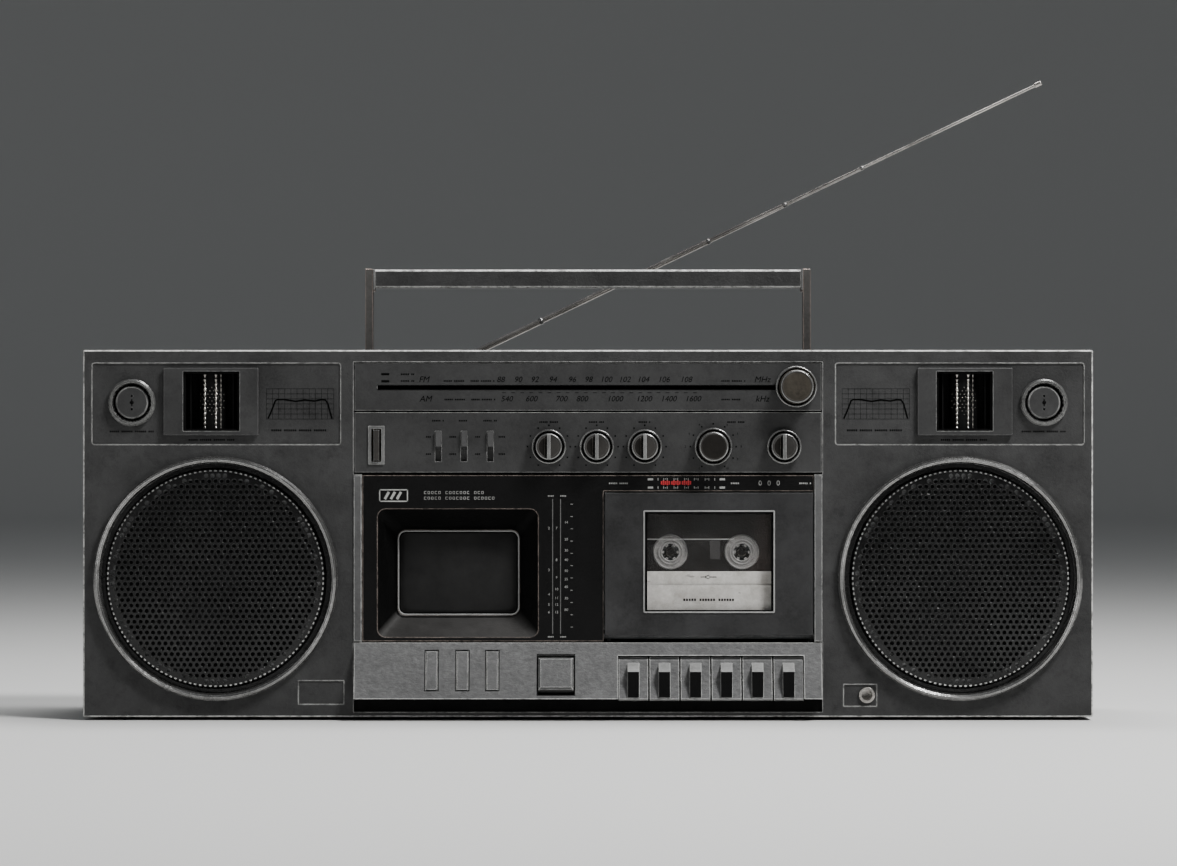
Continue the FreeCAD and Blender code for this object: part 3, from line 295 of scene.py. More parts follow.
def screen_glass():
    """The picture tube's dusty face."""
    nodes = Nodes("screen_glass")
    smudge = nodes.spread(nodes.noise(38.0, 7.0, 0.72), 0.35, 0.72)
    base = nodes.mix(smudge, grey(0.004), (0.015, 0.015, 0.0145))
    nodes.feed("Base Color", base)
    nodes.feed("Roughness", nodes.spread(smudge, 0, 1, 0.42, 0.62))
    nodes.hold("Specular IOR Level", 0.2)
    nodes.bump(smudge, 0.02)
    return nodes.material


def clear_plastic():
    """The door's clear window, a little dirty."""
    nodes = Nodes("window_clear")
    dirt = nodes.spread(nodes.noise(60.0, 6.0, 0.75), 0.45, 0.8)
    corner = nodes.spread(nodes.noise(16.0, 3.0, 0.5), 0.5, 0.68)
    base = nodes.mix(corner, grey(0.12), (0.3, 0.22, 0.18))
    nodes.feed("Base Color", base)
    nodes.feed("Alpha", nodes.spread(dirt, 0, 1, 0.02, 0.1))
    nodes.feed("Roughness", nodes.spread(dirt, 0, 1, 0.2, 0.5))
    return nodes.material


def label_paper():
    """Stained and creased paper."""
    nodes = Nodes("label_paper")
    stain = nodes.spread(nodes.noise(55.0, 7.0, 0.75), 0.38, 0.66)
    crease = nodes.spread(nodes.noise(28.0, 3.0, 0.5, (3.0, 1.0, 8.0)), 0.64, 0.68)
    base = nodes.mix(stain, (0.62, 0.605, 0.575), (0.36, 0.34, 0.31))
    base = nodes.mix(nodes.times(crease, 0.5), base, (0.08, 0.075, 0.07))
    nodes.feed("Base Color", base)
    nodes.hold("Roughness", 0.75)
    nodes.bump(nodes.noise(900.0, 3.0), 0.02)
    return nodes.material


def lamp_red():
    """The meter's glowing red lamps."""
    nodes = Nodes("lamp_red")
    glow = nodes.spread(nodes.noise(900.0, 2.0), 0.3, 0.7)
    base = nodes.mix(glow, (0.16, 0.004, 0.006), (0.4, 0.015, 0.02))
    light = nodes.mix(glow, (0.3, 0.006, 0.01), (0.6, 0.02, 0.03))
    nodes.feed("Base Color", base)
    nodes.feed("Emission Color", light)
    nodes.hold("Emission Strength", 0.25)
    nodes.hold("Roughness", 0.4)
    return nodes.material


# colours of the bright edges, which are partly wear and partly painted highlight
EDGE_GREY = (0.42, 0.42, 0.41)
EDGE_TAN = (0.42, 0.33, 0.29)
CAP_TAN = (0.4, 0.37, 0.32)
BRIGHT = (0.7, 0.7, 0.68)
MATERIALS = {
    # the cabinet's bright top edge and fillets are partly wear and partly painted highlight
    "case": finish("case_plastic_worn_highlit", grey(0.0235), 0.55, blotch=0.46, grain=0.12,
                   wear_and_highlight=((0.6, 0.6, 0.58), 0.8, 1.0), fillets=1.0, dust_and_top_light=0.25),
    "bezel": finish("bezel_plastic", grey(0.026), 0.5, blotch=0.4, wear_and_highlight=(EDGE_GREY, 0.85, 0.7)),
    "panel": finish("panel_plastic_worn_highlit", grey(0.0245), 0.52, blotch=0.36,
                    wear_and_highlight=(EDGE_GREY, 0.75, 0.7), fillets=0.6, dust_and_top_light=0.25),
    "dark_panel": finish("dark_panel", grey(0.0022), 0.45, blotch=0.4,
                         wear_and_highlight=((0.42, 0.35, 0.31), 0.8, 1.0), dust_and_top_light=0.3, gloss=0.15),
    "door": finish("door_plastic_worn_highlit", (0.0165, 0.0165, 0.017), 0.5, blotch=0.7,
                   wear_and_highlight=(EDGE_GREY, 0.4, 0.6)),
    "pillar": finish("pillar_plastic", grey(0.07), 0.45, wear_and_highlight=(EDGE_GREY, 0.9, 0.9)),
    # near black that paints the shade in recesses, grooves, under the keys' nubs and inside the cabinet
    "black": finish("inner_shade_black", grey(0.0018), 0.7, scratches=0.0, gloss=0.1),
    # the rings' bright outer edge is partly wear and partly painted highlight
    "ring": finish("ring_metal_worn_highlit", (0.15, 0.148, 0.145), 0.28, metal=0.85, blotch=0.45, grain=0.03,
                   wear_and_highlight=((0.85, 0.85, 0.83), 1.0, 1.2)),
    # its bright edges paint glints on the rims of the holes
    "grille": finish("grille_steel_black", grey(0.013), 0.24, metal=0.5, blotch=0.6,
                     scratches=0.0, rounding=0.5, wear_and_highlight=(grey(0.19), 0.8, 0.4)),
    "cone": finish("cone_paper_black", grey(0.004), 0.7, scratches=0.0, gloss=0.15),
    "chrome": finish("chrome_dull", (0.42, 0.4, 0.375), 0.26, metal=0.95, grain=0.02, blotch=0.45),
    "arm": finish("arm_steel", (0.09, 0.086, 0.082), 0.42, metal=0.6,
                  wear_and_highlight=(EDGE_TAN, 0.95, 1.2), fillets=0.9),
    "knob": finish("knob_plastic", (0.024, 0.022, 0.02), 0.42, blotch=0.45, wear_and_highlight=(BRIGHT, 0.7, 0.6)),
    "knob_rim": finish("knob_rim", (0.2, 0.2, 0.195), 0.3, metal=0.75, blotch=0.5, wear_and_highlight=(BRIGHT, 0.8, 0.5)),
    "knob_bar": finish("knob_bar", (0.12, 0.12, 0.117), 0.45, blotch=0.45, wear_and_highlight=(BRIGHT, 0.9, 0.8)),
    "knob_cap": finish("knob_cap_brown", (0.031, 0.027, 0.021), 0.75, blotch=0.45,
                       wear_and_highlight=(CAP_TAN, 0.7, 0.6), gloss=0.12),
    "knob_dark": finish("knob_cap_dark", (0.0085, 0.0076, 0.0066), 0.75, blotch=0.4,
                        wear_and_highlight=(CAP_TAN, 0.5, 0.6), gloss=0.1),
    "light_trim": finish("light_trim", (0.1, 0.1, 0.098), 0.48, blotch=0.4, wear_and_highlight=(EDGE_GREY, 0.8, 0.6)),
    # bright metal for the painted reflection streaks and glints in the tweeters
    "bars": finish("tweeter_reflection_metal", (0.3, 0.285, 0.265), 0.24, metal=0.95, grain=0.02,
                   blotch=0.7),
    # lighter grey: on the keys it paints the light on the nubs' tops; on the screen's bead and the door's
    # rim it is their own light colour
    "nub": finish("key_nub", (0.24, 0.24, 0.235), 0.5, blotch=0.3, wear_and_highlight=(BRIGHT, 0.8, 0.5)),
    "switch": finish("switch_plastic", grey(0.05), 0.55, wear_and_highlight=(EDGE_GREY, 0.2, 0.4)),
    "tape_dark": finish("tape_dark", (0.007, 0.0058, 0.005), 0.4, blotch=0.5, gloss=0.25),
    "tape_tab": finish("tape_tab", (0.034, 0.032, 0.031), 0.45, blotch=0.4),
    "tape_hub": finish("tape_hub_grey", (0.19, 0.185, 0.178), 0.45, blotch=0.4,
                       wear_and_highlight=(BRIGHT, 0.9, 0.4)),
    "steel": finish("chassis_steel_dull", grey(0.2), 0.4, metal=0.8),
    "rubber": finish("foot_rubber", grey(0.012), 0.8, scratches=0.0),
    "board": finish("board_laminate", (0.12, 0.07, 0.03), 0.6, scratches=0.0),
    # near black for print, and also for painted shade in gaps and beside the knobs' bars
    "dark_print_and_shade": finish("dark_print_and_shade", grey(0.0016), 0.7, scratches=0.0, gloss=0.05),
    "white_print": finish("white_print", (0.27, 0.27, 0.26), 0.6, blotch=0.4, scratches=0.0),
    "grey_print": finish("grey_print", (0.09, 0.09, 0.088), 0.6, blotch=0.4, scratches=0.0),
    "pointer": finish("pointer_red", (0.4, 0.05, 0.03), 0.4, scratches=0.0),
    "sill": rough_grain(),
    "glass": screen_glass(),
    "window": clear_plastic(),
    "paper": label_paper(),
    "lamp": lamp_red(),
}


def dress(node, name):
    """Gives a CAD part one material."""
    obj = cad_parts[node]
    obj.data.materials.clear()
    obj.data.materials.append(MATERIALS[name])


def dress_part(node, name, inside):
    """Gives the faces whose centre, in millimetres, passes the test a material of their own."""
    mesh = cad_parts[node].data
    mesh.materials.append(MATERIALS[name])
    index = len(mesh.materials) - 1
    for face in mesh.polygons:
        if inside(face.center / MM):
            face.material_index = index


CAD_MATERIALS = {
    "case": ["front_cabinet", "rear_cabinet", "battery_door", "battery_tray", "handle_grip"],
    "bezel": ["tweeter_bezels"],
    "panel": ["dial_panel", "control_panel"],
    "dark_panel": ["tv_surround", "ac_inlet"],
    "door": ["cassette_door"],
    "sill": ["sill_panel", "eject_button"],
    "ring": ["speaker_rings", "microphones"],
    # the centre frame and the tweeters' horns are painted near black as the shade of the recesses they fill
    "black": ["centre_frame", "tweeter_horns"],
    "steel": ["deck_chassis", "mains_transformer", "woofer_baskets", "case_screws"],
    "cone": ["woofer_cones"],
    "glass": ["picture_tube"],
    "window": ["door_window"],
    "tape_dark": ["cassette_shell"],
    "tape_hub": ["supply_hub", "takeup_hub"],
    "knob_dark": ["supply_spindle", "takeup_spindle"],
    "board": ["control_board"],
    "pointer": ["dial_pointer"],
    "chrome": ["headphone_jack", "aerial_base"],
    "arm": ["handle_arms"],
    "knob": ["power_button"],
    "switch": SWITCHES,
    "rubber": ["rubber_feet"],
}
KEYS = [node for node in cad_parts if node.endswith("_key")]
# the sill's foot as (y, z), and how far it leans back from upright
SILL_FOOT = Vector((low("sill_panel").y, low("sill_panel").z))
SILL_LEAN = math.atan2(FRONT - SILL_FOOT.x, high("sill_panel").z - SILL_FOOT.y)


def on_sill(point):
    """How far behind the sill's face, and how far up it, a point lies."""
    back, up = point.y - SILL_FOOT.x, point.z - SILL_FOOT.y
    return (back * math.cos(SILL_LEAN) - up * math.sin(SILL_LEAN),
            back * math.sin(SILL_LEAN) + up * math.cos(SILL_LEAN))


def dress_microphones():
    """The rings, the groove and the disc of the microphones, by the distance from their middle."""
    def out(p):
        return math.hypot(abs(p.x) - MIC_X, p.z - MIC_Z)
    dress_part("microphones", "chrome", lambda p: out(p) > MIC_BEAD[1])
    dress_part("microphones", "panel", lambda p: out(p) < MIC_DISC)
    # the groove is painted near black as its shade
    dress_part("microphones", "black", lambda p: MIC_DISC < out(p) < MIC_GROOVE)
    dress_part("microphones", "knob_rim", lambda p: MIC_BEAD[0] < out(p) < MIC_BEAD[1])


def dress_key(name):
    """A key's raised part: painted dark below the nub as its shade, and the nub's top in a lighter colour
    as painted light.
    """
    middle = centre(name).x

    def raised(p):
        return abs(p.x - middle) < KEY_HALF and on_sill(p)[0] < KEY_DEPTH
    dress_part(name, "black", lambda p: raised(p) and on_sill(p)[1] < NUB_FOOT)
    dress_part(name, "nub", lambda p: raised(p) and on_sill(p)[1] > NUB_FOOT)


def dress_cad():
    """The materials of all the CAD parts, whole ones first and then faces of their own."""
    for name, nodes in CAD_MATERIALS.items():
        for node in nodes:
            dress(node, name)
    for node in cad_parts:
        if node.startswith("aerial_section"):
            dress(node, "chrome")
        if node.endswith("_key") or node.startswith("channel_button"):
            dress(node, "sill")
    dress_part("front_cabinet", "pillar",
               lambda p: PILLAR_X[0] < abs(p.x) < PILLAR_X[1] and p.y < FRONT - 0.2)
    # the cabinet's inside faces are painted near black as shade
    dress_part("front_cabinet", "black",
               lambda p: p.y > FRONT + 3.4 and abs(p.x) < INSIDE_X and INSIDE_Z[0] < p.z < INSIDE_Z[1])
    dress_part("control_panel", "light_trim", lambda p: p.x < -119 and p.y < PANEL_FACE - 0.1)
    dress_part("cassette_door", "nub", lambda p: abs(p.y - (DOOR_FACE - 0.7)) < 0.05)
    dress_microphones()
    for name in KEYS:
        dress_key(name)


# -------------------- pieces
def piece(name, shape, body, materials):
    """A new object that rides on a body, from a bmesh in millimetres or from a finished mesh."""
    mesh = mesh_of(shape, name) if isinstance(shape, bmesh.types.BMesh) else shape
    obj = bpy.data.objects.new(name, mesh)
    bpy.context.scene.collection.objects.link(obj)
    for key in materials:
        mesh.materials.append(MATERIALS[key])
    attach(obj, body)
    return obj


def panel_piece(name, bm, material):
    """A piece fixed to the cabinet's panels."""
    piece(name, bm, "root", [material])


def tape_piece(name, bm, material):
    """A piece that swings with the cassette and its door."""
    piece(name, bm, "cassette_door", [material])


def mesh_of(bm, name):
    """A mesh in metres from one that was built in millimetres."""
    bmesh.ops.scale(bm, vec=(MM, MM, MM), verts=bm.verts)
    bmesh.ops.recalc_face_normals(bm, faces=bm.faces)
    mesh = bpy.data.meshes.new(name)
    bm.to_mesh(mesh)
    bm.free()
    return mesh


def soften(obj, width, segments=2):
    """Rounds a piece's sharp edges."""
    bevel = obj.modifiers.new("edge", "BEVEL")
    bevel.width = width * MM
    bevel.segments = segments
    bevel.limit_method = "ANGLE"
    bevel.angle_limit = math.radians(35.0)
    for face in obj.data.polygons:
        face.use_smooth = True
    obj.modifiers.new("shading", "WEIGHTED_NORMAL")


CORNERS = [(i, j, k) for i in (0, 1) for j in (0, 1) for k in (0, 1)]


def add_cuboid(bm, corners):
    """Six faces on eight corners that stand in the order of CORNERS."""
    corners = [bm.verts.new(corner) for corner in corners]
    for quad in ((0, 1, 3, 2), (4, 6, 7, 5), (0, 4, 5, 1), (2, 3, 7, 6), (0, 2, 6, 4), (1, 5, 7, 3)):
        bm.faces.new([corners[i] for i in quad])


def add_block(bm, x, y, z):
    """A cuboid between three pairs of coordinates."""
    add_cuboid(bm, [(x[i], y[j], z[k]) for i, j, k in CORNERS])


def bridge(bm, rings, smooth=True):
    """The faces between rings of corners that follow each other."""
    faces = []
    for a, b in zip(rings, rings[1:]):
        for i in range(len(a)):
            j = (i + 1) % len(a)
            face = bm.faces.new((a[i], a[j], b[j], b[i]))
            face.smooth = smooth
            faces.append(face)
    return faces


WIDE_FACE = 3.0


def add_turned(bm, profile, at, steps=96, materials=None, ridges=(0, 0.0)):
    """A surface turned about an axis along Y: profile points are (radius, y), at is (x, z).

    Ridges are their count and height. Wide faces stay flat, and the others are smooth.
    """
    rings = []
    count, height = ridges
    for radius, y in profile:
        if radius < 1e-6:
            rings.append([bm.verts.new((at[0], y, at[1]))])
            continue
        ring = []
        for i in range(steps):
            angle = 2 * math.pi * i / steps
            wave = height * math.cos(count * angle) if count else 0.0
            r = radius + wave
            ring.append(bm.verts.new((at[0] + r * math.sin(angle), y, at[1] + r * math.cos(angle))))
        rings.append(ring)
    for n, (a, b) in enumerate(zip(rings, rings[1:])):
        index = materials[n] if materials else 0
        for i in range(steps):
            j = (i + 1) % steps
            corners = [a[i % len(a)], a[j % len(a)], b[j % len(b)], b[i % len(b)]]
            corners = list(dict.fromkeys(corners))
            if len(corners) > 2:
                face = bm.faces.new(corners)
                face.material_index = index
                face.smooth = abs(profile[n][0] - profile[n + 1][0]) < WIDE_FACE


def add_line(bm, points, width, y):
    """A flat printed line through (x, z) points."""
    points = [Vector(p) for p in points]
    sides = []
    for i, p in enumerate(points):
        before, after = points[max(i - 1, 0)], points[min(i + 1, len(points) - 1)]
        along = (after - before).normalized()
        across = Vector((-along.y, along.x)) * width / 2
        sides.append([bm.verts.new((q.x, depth, q.y)) for q in (p + across, p - across) for depth in y])
    for a, b in zip(sides, sides[1:]):
        for i, j in ((0, 1), (1, 3), (3, 2), (2, 0)):
            bm.faces.new((a[i], a[j], b[j], b[i]))
    for end in (sides[0], sides[-1]):
        bm.faces.new((end[0], end[1], end[3], end[2]))


# how far printed marks stand off their surface
PRINT = 0.12


def add_text(bm, words, x, z, height, face, slant=0.0):
    """Numbers or a band's name that stands a hair off a face across Y; x and z are the middle."""
    curve = bpy.data.curves.new("words", "FONT")
    curve.body = words
    curve.size = height / 0.7
    curve.align_x = "CENTER"
    curve.align_y = "CENTER"
    curve.extrude = PRINT / 2
    curve.resolution_u = 3
    curve.shear = slant
    obj = bpy.data.objects.new("words", curve)
    bpy.context.scene.collection.objects.link(obj)
    bpy.context.view_layer.update()
    mesh = bpy.data.meshes.new_from_object(obj.evaluated_get(bpy.context.evaluated_depsgraph_get()))
    place = Matrix.Translation((x, face - PRINT / 2, z))
    mesh.transform(place @ Matrix.Rotation(math.pi / 2, 4, "X"))
    bm.from_mesh(mesh)
    bpy.data.objects.remove(obj)
    bpy.data.curves.remove(curve)
    bpy.data.meshes.remove(mesh)


def mark_y(face):
    """Where a printed mark starts and ends across a face."""
    return (face - PRINT, face + 0.05)


def add_marks(bm, x, z, length, height, face):
    """A row of small open boxes in groups, where a printed title would stand; x is its left end."""
    wide, pitch, line = 0.8 * height, 1.25 * height, 0.16 * height
    y = mark_y(face)
    for i in range(int(length / pitch)):
        if i % 8 == 5:
            continue
        a, b = x + i * pitch, x + i * pitch + wide
        low_z, high_z = z - height / 2, z + height / 2
        add_block(bm, (a, b), y, (low_z, low_z + line))
        add_block(bm, (a, b), y, (high_z - line, high_z))
        add_block(bm, (a, a + line), y, (low_z, high_z))
        if i % 3:
            add_block(bm, (b - line, b), y, (low_z, high_z))


def add_dashes(bm, x, z, length, height, face):
    """A row of short bars where a caption would stand; x and z are its middle."""
    pitch = 1.15 * height
    count = max(1, round(length / pitch))
    for i in range(count):
        left = x + (i - count / 2) * pitch
        if i % 7 != 5:
            add_block(bm, (left, left + 0.68 * pitch), mark_y(face),
                      (z - height / 2, z + height / 2))


# -------------------- knobs and switches
def knob(node, cap_radius, bar, cap):
    """A skirted knob: a bright rim, a groove painted dark as its shade, and a cap, with a finger bar or a
    ridged side.
    """
    at = (centre(node).x, centre(node).z)
    outer = high(node).x - at[0]
    face = low(node).y + (2.6 if bar else 0.0)
    base = FRONT - 1.0
    rim = base - 4.4
    inner = outer - 1.5
    floor = base - 1.2
    profile = [
        (0, face + 0.35), (cap_radius - 1.8, face + 0.35), (cap_radius - 1.4, face + 0.05),
        (cap_radius - 0.8, face), (cap_radius - 0.3, face + 0.15), (cap_radius, face + 0.7),
        (cap_radius + 0.15, floor), (inner, floor), (inner, rim + 0.7), (inner + 0.3, rim + 0.15),
        (outer - 0.7, rim), (outer - 0.2, rim + 0.4), (outer, rim + 1.1), (outer, base), (0, base),
    ]
    # the groove's faces take the near black that paints its shade
    black, top, side, bright = range(4)
    kinds = [top, top, side, bright, bright, black, black, black,
             bright, bright, bright, bright, bright, black]
    bm = bmesh.new()
    add_turned(bm, profile, at, 120, kinds)
    if not bar:
        grip = [(cap_radius, face + 1.0), (cap_radius + 0.25, face + 1.5),
                (cap_radius + 0.35, floor + 0.3)]
        add_turned(bm, grip, at, 288, [top, top], (48, 0.12))
    obj = piece(node + "_turned", bm, node,
                ["black", cap, "knob", "knob_rim"])
    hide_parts(node)
    if bar:
        knob_bar(node, at, cap_radius, face)


def knob_bar(node, at, cap_radius, face):
    """A knob's finger bar, a dark strip at its left as a painted shadow, and the cap's left half darkened
    as painted shade.
    """
    reach = cap_radius - 0.4
    bm = bmesh.new()
    add_block(bm, (at[0] - 1.05, at[0] + 1.05), (low(node).y, face + 1.0),
              (at[1] - reach, at[1] + reach))
    grip = piece(node + "_bar", bm, node, ["knob_bar"])
    soften(grip, 0.4, 3)
    # painted shadow beside the bar and painted shade on the cap's left half
    bm = bmesh.new()
    add_block(bm, (at[0] - 2.2, at[0] - 1.0), (face + 0.22, face + 1.0),
              (at[1] - reach + 1.2, at[1] + reach - 1.2))
    size = cap_radius - 1.9
    arc = [math.radians(-18 - 9 * i) for i in range(17)]
    half = bm.faces.new([bm.verts.new((at[0] + size * math.sin(a), face + 0.3, at[1] + size * math.cos(a)))
                         for a in arc])
    half.material_index = 1
    piece(node + "_shade", bm, node,
          ["dark_print_and_shade", "knob_dark"])


def knobs():
    """Four knobs with finger bars, and two plain ones with ridged sides."""
    for node in ("balance_knob", "treble_knob", "bass_knob", "tv_tuning_knob"):
        knob(node, 7.9, True, "knob")
    knob("volume_knob", 8.7, False, "knob_dark")
    knob("tuning_knob", 9.8, False, "knob_cap")


def switch_floors():
    """The plates at the bottom of the slots that the switches slide in."""
    bm = bmesh.new()
    for node in SWITCHES:
        x = centre(node).x
        add_block(bm, (x - 2.8, x + 2.8), (FRONT + 4.9, FRONT + 5.3), (SLOT_Z - 9.5, SLOT_Z + 9.5))
    panel_piece("switch_floors", bm, "light_trim")


# -------------------- speakers
def domed_grilles():
    """The perforated sheets, bulging a little towards the front."""
    bulge, flat = 3.0, 63.2
    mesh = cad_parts["speaker_grilles"].data.copy()
    mesh.materials.clear()
    for vertex in mesh.vertices:
        x, y, z = vertex.co / MM
        radius = math.hypot(abs(x) - SPEAKER_X, z - SPEAKER_Z)
        if radius < flat + 0.9:
            vertex.co.y -= bulge * max(0.0, 1 - (radius / flat) ** 3) * MM
    obj = piece("grille_sheets", mesh, "root", ["grille"])
    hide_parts("speaker_grilles")


def grille_rims():
    """The row of small bright blocks round each grille, a painted highlight along the grille's bend."""
    bm = bmesh.new()
    count, radius, half, turn = 132, 63.9, 0.42, 0.011
    outline = ((radius - half, -turn), (radius + half, -turn), (radius + half, turn), (radius - half, turn))
    for side in (-1, 1):
        for i in range(count):
            middle = 2 * math.pi * i / count
            corners = []
            for depth in (FRONT - 2.9, FRONT - 2.0):
                for r, offset in outline:
                    angle = middle + offset
                    corners.append(bm.verts.new((side * SPEAKER_X + r * math.sin(angle), depth,
                                                 SPEAKER_Z + r * math.cos(angle))))
            for quad in ((0, 1, 2, 3), (0, 4, 5, 1), (1, 5, 6, 2), (2, 6, 7, 3), (3, 7, 4, 0)):
                bm.faces.new([corners[k] for k in quad])
    piece("grille_rims", bm, "root", ["ring"])


def horn_bars():
    """Bright upright bars and a field of small studs on the round body in each tweeter, standing in for
    painted reflection streaks and glints.
    """
    axis = low("tweeter_horns").y + 10.5
    bm = bmesh.new()
    for side in (-1, 1):
        middle = side * HORN_X
        for offset, radius in ((-4.2, 0.8), (2.4, 0.75), (5.3, 0.35)):
            depth = math.sqrt(8.4 ** 2 - offset ** 2)
            beaded_bar(bm, middle + offset, axis - depth, radius)
        for row in range(-4, 5):
            for column in range(-3, 4):
                dx = (column + 0.5 * (row % 2)) * 2.3
                dz = row * 2.0
                if math.hypot(dx, dz) > 8.2:
                    continue
                ball = bmesh.ops.create_icosphere(bm, subdivisions=1, radius=0.42)
                depth = math.sqrt(8.5 ** 2 - dx ** 2)
                place = Vector((middle + dx, axis - depth, MIC_Z + dz + 1.0))
                bmesh.ops.translate(bm, vec=place, verts=ball["verts"])
    for face in bm.faces:
        face.smooth = True
    piece("tweeter_reflection_bars", bm, "root", ["bars"])


def beaded_bar(bm, x, y, radius):
    """An upright rod whose thickness swells and shrinks along it, so that the painted reflection it stands
    for looks beaded.
    """
    steps, sides = 96, 12
    foot, top = HORN_Z[0] + 1.4, HORN_Z[1] - 1.4
    rings = []
    for i in range(steps + 1):
        z = foot + (top - foot) * i / steps
        r = radius * (1 + 0.4 * math.cos(2 * math.pi * (z - foot) / 2.9))
        rings.append([bm.verts.new((x + r * math.cos(2 * math.pi * k / sides),
                                    y + r * math.sin(2 * math.pi * k / sides), z)) for k in range(sides)])
    bridge(bm, rings)
    bm.faces.new(rings[0])
    bm.faces.new(rings[-1])


def microphone_dots():
    """The row of dark sound holes in each microphone's cap."""
    bm = bmesh.new()
    face = low("microphones").y + 1.4
    for side in (-1, 1):
        for step, radius in ((-3.9, 0.75), (-1.6, 0.45), (0, 1.15), (1.6, 0.45), (3.9, 0.75)):
            add_turned(bm, [(0, face - 0.1), (radius, face - 0.1), (radius, face + 0.05)],
                       (side * MIC_X, MIC_Z + step), 24)
    piece("microphone_dots", bm, "root", ["dark_print_and_shade"])


def response_charts():
    """A printed grid with a curve beside each tweeter, and the captions under the fields."""
    curve = [(0.0, 0.0), (2.2, 5.0), (4.3, 10.6), (5.6, 11.3), (9.3, 11.3), (16.4, 10.2), (21.7, 11.0),
             (27.6, 10.4), (31.5, 11.2), (34.0, 11.0), (35.4, 9.0), (37.9, 0.0)]
    bm = bmesh.new()
    y = mark_y(FIELD_FACE)
    for side in (-1, 1):
        left = -190.0 if side < 0 else 152.0
        for i in range(12):
            x = left - 1 + i * 40.0 / 11
            add_line(bm, [(x, 179.0), (x, 197.0)], 0.16, y)
        for i in range(7):
            z = 179.0 + i * 3.0
            add_line(bm, [(left - 1, z), (left + 39, z)], 0.16, y)
        add_line(bm, [(left + x, 179.3 + z) for x, z in curve], 0.95, (y[0] - 0.1, y[1]))
        add_dashes(bm, left + 19, 172.3, 34, 1.1, FIELD_FACE)
        add_dashes(bm, side * MIC_X, 171.6, 27, 1.0, FIELD_FACE)
        add_dashes(bm, side * HORN_X, 166.6, 28, 1.0, FIELD_FACE)
    panel_piece("field_print", bm, "dark_print_and_shade")


# -------------------- dial and control print
# where each number stands along X
FM_MARKS = {"88": -51.9, "90": -41.6, "92": -31.7, "94": -21.0, "96": -9.5, "98": 0.2, "100": 10.7,
            "102": 21.7, "104": 32.7, "106": 45.0, "108": 58.2}
AM_MARKS = {"540": -48.3, "600": -33.7, "700": -15.9, "800": -3.6, "1000": 16.0, "1200": 33.2, "1400": 47.8,
            "1600": 62.3}


def dial_print():
    """The dial's numbers, its tick marks, the slot's dark lines and the dashes for its captions."""
    bm = bmesh.new()
    for words, x in FM_MARKS.items():
        add_text(bm, words, x, FM_ROW, 3.3, DIAL_FACE, slant=0.25)
    for words, x in AM_MARKS.items():
        add_text(bm, words, x, AM_ROW, 3.3, DIAL_FACE, slant=0.25)
    for words, x, z in (("FM", -97.5, FM_ROW), ("AM", -96.5, AM_ROW),
                        ("MHz", 103.5, FM_ROW), ("kHz", 103.5, AM_ROW)):
        add_text(bm, words, x, z, 3.5, DIAL_FACE, slant=0.25)
    y = mark_y(DIAL_FACE)
    for i in range(22):
        x = -51.0 + i * 5.4
        add_block(bm, (x, x + 2.2), y, (194.5, 194.8))
    for x, z, length in ((-85.5, 201.6, 13.0), (-69.5, 201.6, 14.0), (-85.0, 190.6, 12.0),
                         (-69.0, 190.6, 14.0), (79.5, 201.6, 14.0), (79.5, 190.6, 11.0),
                         (-111.0, 201.6, 8.0), (-111.0, 205.6, 8.0)):
        add_dashes(bm, x + length / 2, z, length, 0.9, DIAL_FACE)
    for z in (200.8, 205.0):
        add_block(bm, (-122.8, -118.0), y, (z, z + 1.3))
    for z in ((196.2, 196.7), (198.8, 199.2)):
        add_block(bm, (-125.4, 112.0), y, z)
    panel_piece("dial_print", bm, "dark_print_and_shade")


def control_print():
    """The dots and numbers round the knobs, and the dashes for the captions."""
    bm = bmesh.new()
    y = mark_y(PANEL_FACE)
    for x, length in ((-23.2, 11.0), (5.2, 9.0), (33.7, 7.0), (88.0, 10.0)):
        add_dashes(bm, x, 177.2, length, 0.9, PANEL_FACE)
    for node in ("balance_knob", "treble_knob", "bass_knob", "volume_knob"):
        at = centre(node)
        radius = high(node).x - at.x + 2.3
        for i in range(11):
            angle = math.radians(-150 + 30 * i)
            x, z = at.x + radius * math.sin(angle), at.z + radius * math.cos(angle)
            add_block(bm, (x - 0.45, x + 0.45), y, (z - 0.45, z + 0.45))
    at = centre("volume_knob")
    for i in (0, 1, 2, 3, 4, 6, 7, 8, 9, 10):
        angle = math.radians(-150 + 30 * i)
        x, z = at.x + 16.6 * math.sin(angle), at.z + 15.0 * math.cos(angle)
        add_text(bm, str(i), x, z, 1.3, PANEL_FACE)
    for x, length in ((-94.6, 3.5), (-80.2, 4.5), (-65.4, 3.5), (-51.0, 4.5)):
        for z in (168.4, 158.2):
            add_dashes(bm, x, z, length, 0.9, PANEL_FACE)
    for x, length in ((-88.9, 7.0), (-73.6, 6.0), (-58.0, 8.0)):
        add_dashes(bm, x, 178.0, length, 0.9, PANEL_FACE)
    panel_piece("control_print", bm, "dark_print_and_shade")


